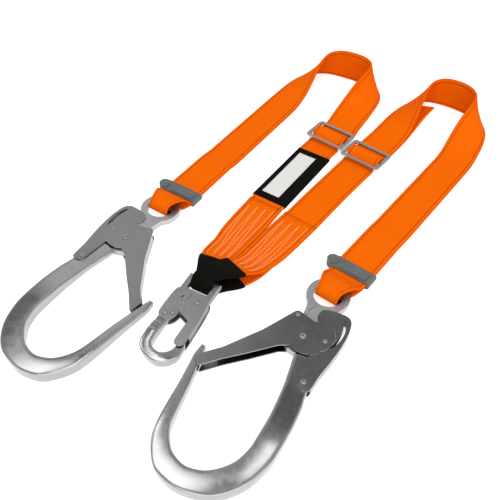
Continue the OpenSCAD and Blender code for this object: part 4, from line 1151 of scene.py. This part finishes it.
# Floor: plain and pale, white to the camera and in the steel, curved up into a round backdrop. In metres
FLOOR_PALE = 0.9
FLOOR_GLOW = 0.62
FLOOR_R = 4.0
FLOOR_DOWN = 0.0002
WALL_TOP = 3.0
FLOOR_SIDES = 96
m, tree, b = material("floor", (FLOOR_PALE, FLOOR_PALE, FLOOR_PALE), 0.9)
g = Nodes(tree)
path = g.add("ShaderNodeLightPath")
seen = g.math("ADD", path.outputs["Is Camera Ray"], path.outputs["Is Glossy Ray"], clamp=True)
seen = g.math("ADD", seen, path.outputs["Is Transmission Ray"], clamp=True)
g.link(g.math("MULTIPLY", seen, FLOOR_GLOW), b.inputs["Emission Strength"])
b.inputs["Emission Color"].default_value = (1, 1, 1, 1)
b.inputs["Specular IOR Level"].default_value = 0.0
bend = np.radians(np.linspace(0, 90, 10))
profile = [(FLOOR_R + math.sin(a), 1 - FLOOR_DOWN - math.cos(a)) for a in bend] + [(FLOOR_R + 1, WALL_TOP)]
turns = np.linspace(0, ROUND, FLOOR_SIDES, endpoint=False)
rings = [[(r * math.cos(a), r * math.sin(a), z) for a in turns] for r, z in profile]
polys = skin(rings, 0, True) + [tuple(range(FLOOR_SIDES))]
floor = new_object("floor", [v for ring in rings for v in ring], polys, m)

# Studio: a grey room, paler above, with dark cards and a pale one that show in the steel
ROOM_LOW = (0.27, 0.27, 0.27)
ROOM_HIGH = (0.64, 0.64, 0.64)
# Each card: its direction, the cosines at which it starts and is full, and its tone
CARDS = (
    ((-0.224, 0.528, 0.819), 0.988, 0.9975, 0.19),
    ((-0.565, 0.41, 0.716), 0.987, 0.998, 0.9),
    ((-0.458, 0.26, 0.85), 0.994, 0.9995, 0.05),
    ((-0.617, 0.265, 0.742), 0.989, 0.9995, 0.24),
    ((-0.257, 0.325, 0.91), 0.9965, 0.9995, 0.05),
    ((-0.369, 0.297, 0.881), 0.9982, 0.9998, 0.12),
)
world = bpy.data.worlds.new("studio")
scene.world = world
world.use_nodes = True
g = Nodes(world.node_tree)
back = world.node_tree.nodes["Background"]
way = g.add("ShaderNodeTexCoord").outputs["Generated"]
sep = g.add("ShaderNodeSeparateXYZ")
g.link(way, sep.inputs[0])
height = g.math("MULTIPLY_ADD", sep.outputs[2], 0.9, 0.1, clamp=True)
sky = g.mix(height, ROOM_LOW, ROOM_HIGH)
for toward, start, full, tone in CARDS:
    spot = g.add("ShaderNodeVectorMath", operation="DOT_PRODUCT")
    g.link(way, spot.inputs[0])
    spot.inputs[1].default_value = toward
    card = g.add("ShaderNodeMapRange", interpolation_type="SMOOTHSTEP")
    card.inputs["From Min"].default_value = start
    card.inputs["From Max"].default_value = full
    g.link(spot.outputs["Value"], card.inputs["Value"])
    sky = g.mix(card.outputs[0], sky, (tone, tone, tone))
g.link(sky, back.inputs["Color"])
back.inputs["Strength"].default_value = 1.0


def lamp(name, place, target, size, power):
    """A soft box. One without a target faces straight down."""
    data = bpy.data.lights.new(name, "AREA")
    data.shape = "RECTANGLE"
    data.size, data.size_y = size
    data.energy = power
    ob = bpy.data.objects.new(name, data)
    scene.collection.objects.link(ob)
    ob.location = place
    if target:
        ob.rotation_euler = (Vector(target) - Vector(place)).to_track_quat("-Z", "Y").to_euler()


# Soft boxes, in metres and watts: place, what each faces, size and power
BOX_Z = 1.45
lamp("key_left", (-1.0, 0.045, BOX_Z), None, (0.26, 0.3), 0.66)
lamp("key", (-0.505, 0.035, BOX_Z), None, (0.41, 0.28), 0.95)
lamp("key_snap", (-0.685, 0.2, BOX_Z), None, (0.08, 0.1), 0.13)
lamp("key_end", (-0.19, 0.32, BOX_Z), None, (0.1, 0.25), 0.25)
lamp("fill", (0.9, -1.0, 1.5), (0, 0, 0), (2.8, 2.8), 31)
lamp("back", (0.5, 1.5, 1.3), (0, 0.1, 0), (1.4, 0.9), 3)
